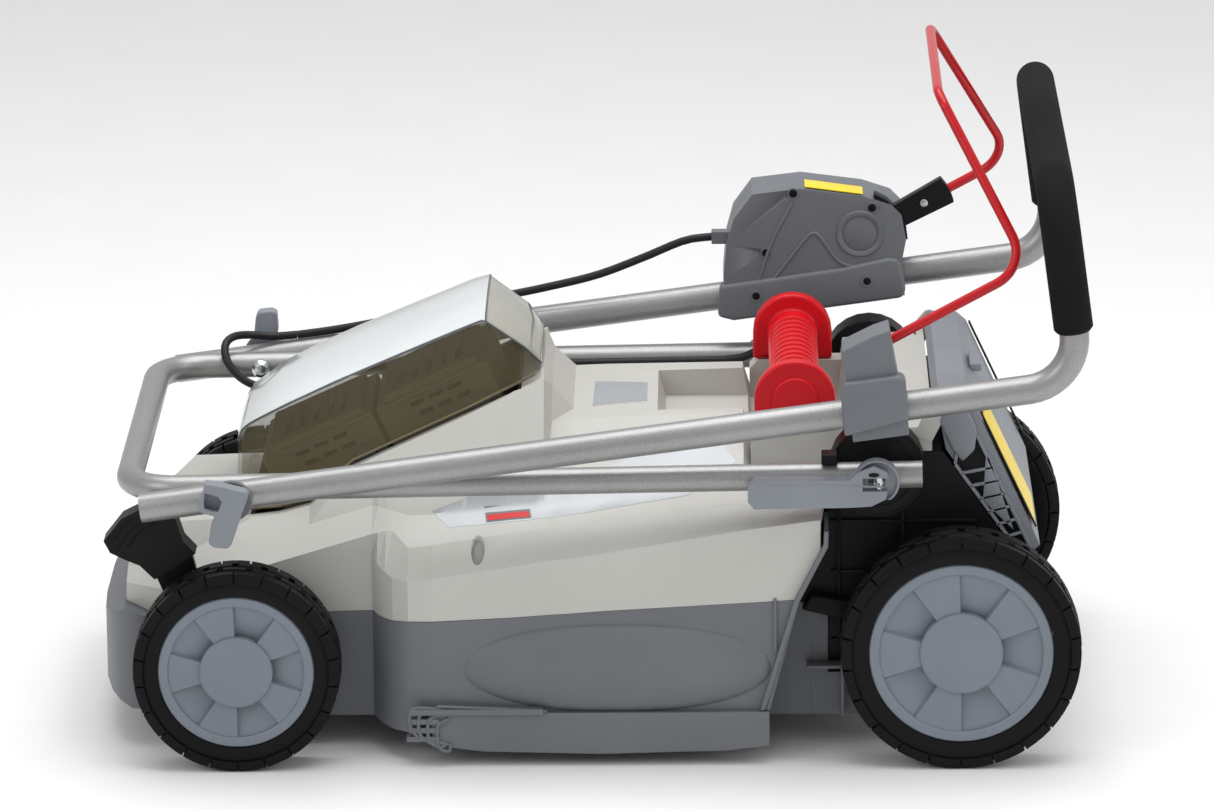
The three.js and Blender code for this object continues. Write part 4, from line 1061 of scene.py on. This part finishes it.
def switch_box():
    """Both halves, with screw wells, a raised round boss, moulded ridges and a tube sleeve."""
    inner = softened("switch_box_inner", BOX_EDGE, 3)
    softened("switch_box_outer", BOX_EDGE, 3)
    wells = bmesh.new()
    screws = bmesh.new()
    face = bmesh.new()
    head = [(0.01, 0.2), (1.1, 0.2), (1.5, -0.6), (3.3, -0.4), (3.3, 1.6), (0.01, 1.6)]
    rim = [(3.7, 0.6), (3.7, -0.6), (4.9, -0.6), (5.3, 0.6)]
    for x, z in SCREW_PLACES:
        disc(wells, x, z, 3.6, BOX_FACE - 6, BOX_FACE + 1.7)
        spin_profile(screws, x, z, on_box(head))
        spin_profile(face, x, z, on_box(rim))
    carve(inner, wells)
    new_piece("box_screws", "upper_handle", "black_plastic", screws, 25)
    bx, bz = BOX_BOSS
    ring = [(15.5, 0.6), (15.5, -1), (16.5, -1.8), (19.5, -1.8), (21, 0.6)]
    spin_profile(face, bx, bz, on_box(ring), 48)
    hollow = [(0.01, -0.8), (13.5, -0.8), (15.6, 0.6), (0.01, 0.6)]
    spin_profile(face, bx, bz, on_box(hollow), 48)
    back = [(458, 376), (441.8, 344), (431, 312), (429, 303)]
    hill = [(440, 305), (447, 315), (470, 345), (477.3, 349.5), (483, 345), (494, 329)]
    hill += [(503, 321.7), (516, 319.4), (530, 321.5), (543, 326.6)]
    for path in (back, hill):
        rod(face, [(x, BOX_FACE, z) for x, z in path], 1.6, 10, 50)
    new_piece("box_ridges", "upper_handle", "box_plastic", face, 40)
    sleeve = bmesh.new()
    outline = [(394, 276), (408, 272.5), (553, 292), (556, 299)]
    outline += [(551, 326), (541, 328), (500, 319), (396, 304)]
    prism(sleeve, outline, 178.5, 196, 5, 4)
    piece = new_piece("box_sleeve", "upper_handle", "box_plastic", sleeve, 30)
    carve(piece, leg_bore(394, 549, 1))
    rims = bmesh.new()
    heads = bmesh.new()
    rim = [(0.01, -3.7), (3.2, -3.7), (3.4, -4.4), (5.2, -4.4), (5.6, -2.8), (0.01, -2.8)]
    for x, z in SCREW_PLACES[3:]:
        spin_profile(rims, x, z, on_box(rim))
        disc(heads, x, z, 3.1, BOX_FACE - 4.5, BOX_FACE - 3.6, 0.2)
    new_piece("sleeve_screw_rims", "upper_handle", "box_plastic", rims, 30)
    new_piece("sleeve_screws", "upper_handle", "black_plastic", heads, 30)
    strip = bmesh.new()
    prism(strip, [(469, 389.6), (519, 382.8), (519, 383.7), (469, 390.6)], 184, 209, 0.2)
    new_piece("box_yellow_strip", "upper_handle", "label_yellow", strip, 30)
    guard = bmesh.new()
    outer_arc = [(529, 383), (540, 377.5), (549.5, 368), (555.8, 356), (557.5, 343)]
    inner_arc = [(555, 343.5), (553, 355), (547, 366), (538, 374.8), (528, 380)]
    prism(guard, outer_arc + inner_arc, 183, 199, 0.6)
    new_piece("box_guard", "upper_handle", "black_plastic", guard, 30)
    pin = bmesh.new()
    profile = [(0.01, 1.2), (1, 0.6), (1.4, 0), (3.3, 0.2), (3.6, 2.8), (0.01, 2.8)]
    spin_profile(pin, 571.2, 375.5, on_box(profile), 20)
    new_piece("socket_screw", "bail", "zinc", pin, 30)


# ---- clamps and lever ----

CAM = (524, low_z(524))
CAM_BOSS = (522.5, 242.5)


def cam_details():
    """Each cam lever's oval eye and ridge, the round boss behind it and the disc's grooves."""
    for hand, side in SIDES:
        x, z = CAM
        eye = bmesh.new()
        prism(eye, oval(x - 4, z + 8.4, 4.5, 1.8, 20), *span(side, 219, 220.6), 0.3)
        new_piece(f"cam_eye_{hand}", f"cam_lever_{hand}", "black_plastic", eye, 30)
        ring = bmesh.new()
        profile = [(7, 208), (18.2, 208), (18.8, 209), (18.8, 216)]
        profile += [(18.2, 217.2), (16.8, 217.2), (16.2, 213), (7, 213)]
        spin_profile(ring, *CAM_BOSS, [(r, side * y) for r, y in profile], 48)
        piece = new_piece(f"cam_boss_{hand}", "lower_handle", "lever_plastic", ring, 30)
        below = bmesh.new()
        brick(below, (490, 560), (-240, 240), (200, 228))
        carve(piece, below)
        ridge = bmesh.new()
        line = [(424, 243), (450, 241), (470, 242), (500, 240.5), (528, 239.5)]
        rod(ridge, [(px, side * 219.6, pz) for px, pz in line], 0.9, 8, 24)
        new_piece(f"cam_ridge_{hand}", f"cam_lever_{hand}", "lever_plastic", ridge, 40)
        groove = bmesh.new()
        for r in (37.5, 30):
            section = [(r - 1.2, 178), (r - 0.8, 179.2), (r, 179.2), (r, 178)]
            spin_profile(groove, x, z, [(r, side * y) for r, y in section], 56)
        new_piece(f"pivot_grooves_{hand}", "chassis", "black_plastic", groove, 30)


# the right wing nut stands at another angle than the left one
WING_TURN = 168


def wing_nuts():
    """A nut with one thick pocketed wing and one plain one, on a washer."""
    body = [(-20, 20.5), (-6, 18), (13, 13), (15.5, 10), (8.4, -9), (0.5, -32), (-3, -35)]
    body += [(-14, -34), (-18, -30.8), (-15.7, -15.6), (-12, -8)]
    body += [(-23, -5), (-27, -1), (-25.5, 6.8), (-22.5, 9)]
    pocket = [(-20, 12.3), (-9, 9), (-6.4, 4.4), (-9.5, -3.5), (-15, -3), (-20.5, -1), (-21, 4)]
    for hand, side in SIDES:
        turn = math.radians(WING_TURN) if side > 0 else 0

        def placed(points):
            along, up = math.cos(turn), math.sin(turn)
            return [(u * along + v * up, FOLD_Z + v * along - u * up) for u, v in points]

        bm = bmesh.new()
        prism(bm, placed(body), *span(side, 235, 248.6), 2.2, 3)
        piece = new_piece(f"wing_body_{hand}", f"wing_nut_{hand}", "lever_plastic", bm, 35)
        cutter = bmesh.new()
        prism(cutter, placed(pocket), *span(side, 239.5, 256))
        carve(piece, cutter)
        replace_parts(piece, f"wing_nut_{hand}")
        neck = bmesh.new()
        profile = [(4.6, 226.4), (16, 226.4), (17, 227.2), (17, 229.6)]
        profile += [(16, 230.6), (11, 230.6), (11, 236), (4.6, 236)]
        spin_profile(neck, 0, FOLD_Z, [(r, side * y) for r, y in profile], 40)
        new_piece(f"wing_washer_{hand}", f"wing_nut_{hand}", "grey_plastic", neck, 30)


PADDLE_MIDDLE = (-40, 158)


def lever_details():
    """Fine raised arcs on the height lever's paddle, where a thumb presses."""
    x, z = PADDLE_MIDDLE
    bm = bmesh.new()
    for k in range(5):
        path = []
        for step in range(9):
            a = math.radians(118 + 7 * step)
            r = 52 + 6.5 * k
            path.append((x + r * math.cos(a) * 1.05, -177.8, z + r * math.sin(a) * 0.92))
        inside = [p for p in path if -102 < p[0] < -48 and 176 < p[2] < 206]
        if len(inside) > 2:
            rod(bm, inside, 0.8, 8)
    new_piece("lever_ridges", "front_crank", "black_plastic", bm, 30)


# ---- rear flap ----

FLAP_SIDE = 145.5


def flap_details():
    """Dark openings under a lattice on each side of the flap, a corner block and a plain label."""
    bm = bmesh.new()
    holes = bmesh.new()
    for side in (-1, 1):
        wall = span(side, FLAP_SIDE, FLAP_SIDE + 3.9)
        edge = [(588, 238), (592, 232), (640, 164), (650, 166), (606, 262), (592, 268)]
        for a, b in zip(edge, edge[1:] + edge[:1]):
            wide = Vector((a[1] - b[1], b[0] - a[0])).normalized() * 1.3
            corners = [(a[0] + wide.x, a[1] + wide.y), (b[0] + wide.x, b[1] + wide.y)]
            corners += [(b[0] - wide.x, b[1] - wide.y), (a[0] - wide.x, a[1] - wide.y)]
            prism(bm, corners, *wall, 0.5)
        for k in range(6):
            z = 174 + 11 * k
            left = 636 - (z - 164) * 0.66
            right = 648 - (z - 164) * 0.44
            prism(bm, [(left, z), (right, z + 5), (right, z + 7.4), (left, z + 2.4)], *wall, 0.4)
        prism(bm, [(611, 208), (613, 205), (636, 182), (616, 244), (613, 244)], *wall, 0.4)
        block = [(574, 275), (580, 289), (596, 289), (606, 268), (604, 250), (594, 240), (586, 250)]
        prism(bm, block, *span(side, FLAP_SIDE, FLAP_SIDE + 5), 2.2, 3)
        dark = span(side, 145.6, 146.6)
        prism(holes, [(590, 238), (640, 167), (648, 168), (604, 262), (592, 266)], *dark, 0.2)
    brick(bm, (604, 614), (-20, 20), (281, 288), 1.5)
    new_piece("flap_lattice", "rear_flap", "flap_plastic", bm, 30)
    new_piece("flap_openings", "rear_flap", "black_plastic", holes, 30)
    mark = bmesh.new()
    prism(mark, [(612, 271), (654, 181), (655, 181.6), (613, 271.6)], -136, -44, 0.2)
    new_piece("flap_label", "rear_flap", "label_yellow", mark, 30)
    strip = bmesh.new()
    for side in (-1, 1):
        band = span(side, 146, 139)
        prism(strip, [(608, 281), (654, 183), (655.4, 183.6), (609.4, 281.6)], *band, 0.4)
    new_piece("flap_dark_strip", "rear_flap", "black_plastic", strip, 30)


def bracket_details():
    """The bail bracket's thicker clamp round the tube, and the small wire clip on the rod."""
    bm = bmesh.new()
    outline = [(496, 287), (548, 301), (545, 335), (540, 338), (496, 332), (493, 320)]
    prism(bm, outline, -240.5, -222, 3, 3)
    piece = new_piece("bracket_clamp", "upper_handle", "box_plastic", bm, 30)
    carve(piece, leg_bore(470, 570, -1))
    clip = bmesh.new()
    path = [(534, -197, 352), (538, -186, 357), (545, -184, 363)]
    path += [(552, -186, 364), (554, -192, 360)]
    rod(clip, path, 0.9, 8, 16)
    new_piece("bail_clip", "bail", "zinc", clip, 40)


# ---- the whole scene ----

FLOOR_REACH = 12


def make_floor():
    bm = bmesh.new()
    turns = [(-1, -1), (1, -1), (1, 1), (-1, 1)]
    bm.faces.new([bm.verts.new((x * FLOOR_REACH, y * FLOOR_REACH, 0)) for x, y in turns])
    mesh = bpy.data.meshes.new("floor")
    bm.to_mesh(mesh)
    bm.free()
    floor = bpy.data.objects.new("floor", mesh)
    bpy.context.scene.collection.objects.link(floor)
    paint = surface("floor_paint", (0.86, 0.86, 0.86), 0.6, bump=0.02, vary=0.01)
    floor.data.materials.append(paint)


make_camera()
make_light()
make_floor()
make_cables()
lower_handle()
upper_handle()
foam_grip()
bail()
for hand, side in SIDES:
    for end in WHEELS:
        make_tyre(end, hand, side)
        make_hub(end, hand, side)
        make_cap(end, hand, side)

# how far the edges of each copied node are rounded
SOFT_EDGES = {"deck_lower": 1.5, "rear_chassis": 1.5, "battery_lid": 2.0, "carry_handle": 3.0}
SOFT_EDGES.update({"rear_flap": 1.5, "height_lever": 4.0, "battery_front": 2.0})
SOFT_EDGES.update({"battery_rear": 2.0, "battery_bay": 1.0, "bail_bracket": 2.0})
SOFT_EDGES.update({"bail_socket": 1.5, "tube_clip": 1.5, "lock_button": 0.8, "cable_gland": 1.5})
PAIRED_EDGES = {"side_comb": 1.0, "cam_lever": 2.0, "pivot_disc": 1.0}
PAIRED_EDGES.update({"wing_bolt": 0.5, "cam_bolt": 0.4})
for node, width in PAIRED_EDGES.items():
    SOFT_EDGES.update({f"{node}_{hand}": width for hand, _ in SIDES})
SOFT_EDGES.update({"front_axle": 0.5, "rear_axle": 0.5, "link_rod": 0.5, "blade": 0.4})
for node, width in SOFT_EDGES.items():
    softened(node, width)
finish_cover()
cover_stickers()
deck_details()
comb_details()
chassis_details()
pack_details()
lid_details()
carry_details()
switch_box()
cam_details()
wing_nuts()
lever_details()
flap_details()
bracket_details()

for node, thing in NODES.items():
    thing.data.materials.clear()
    thing.data.materials.append(LOOKS[SLOT_OF[node]])
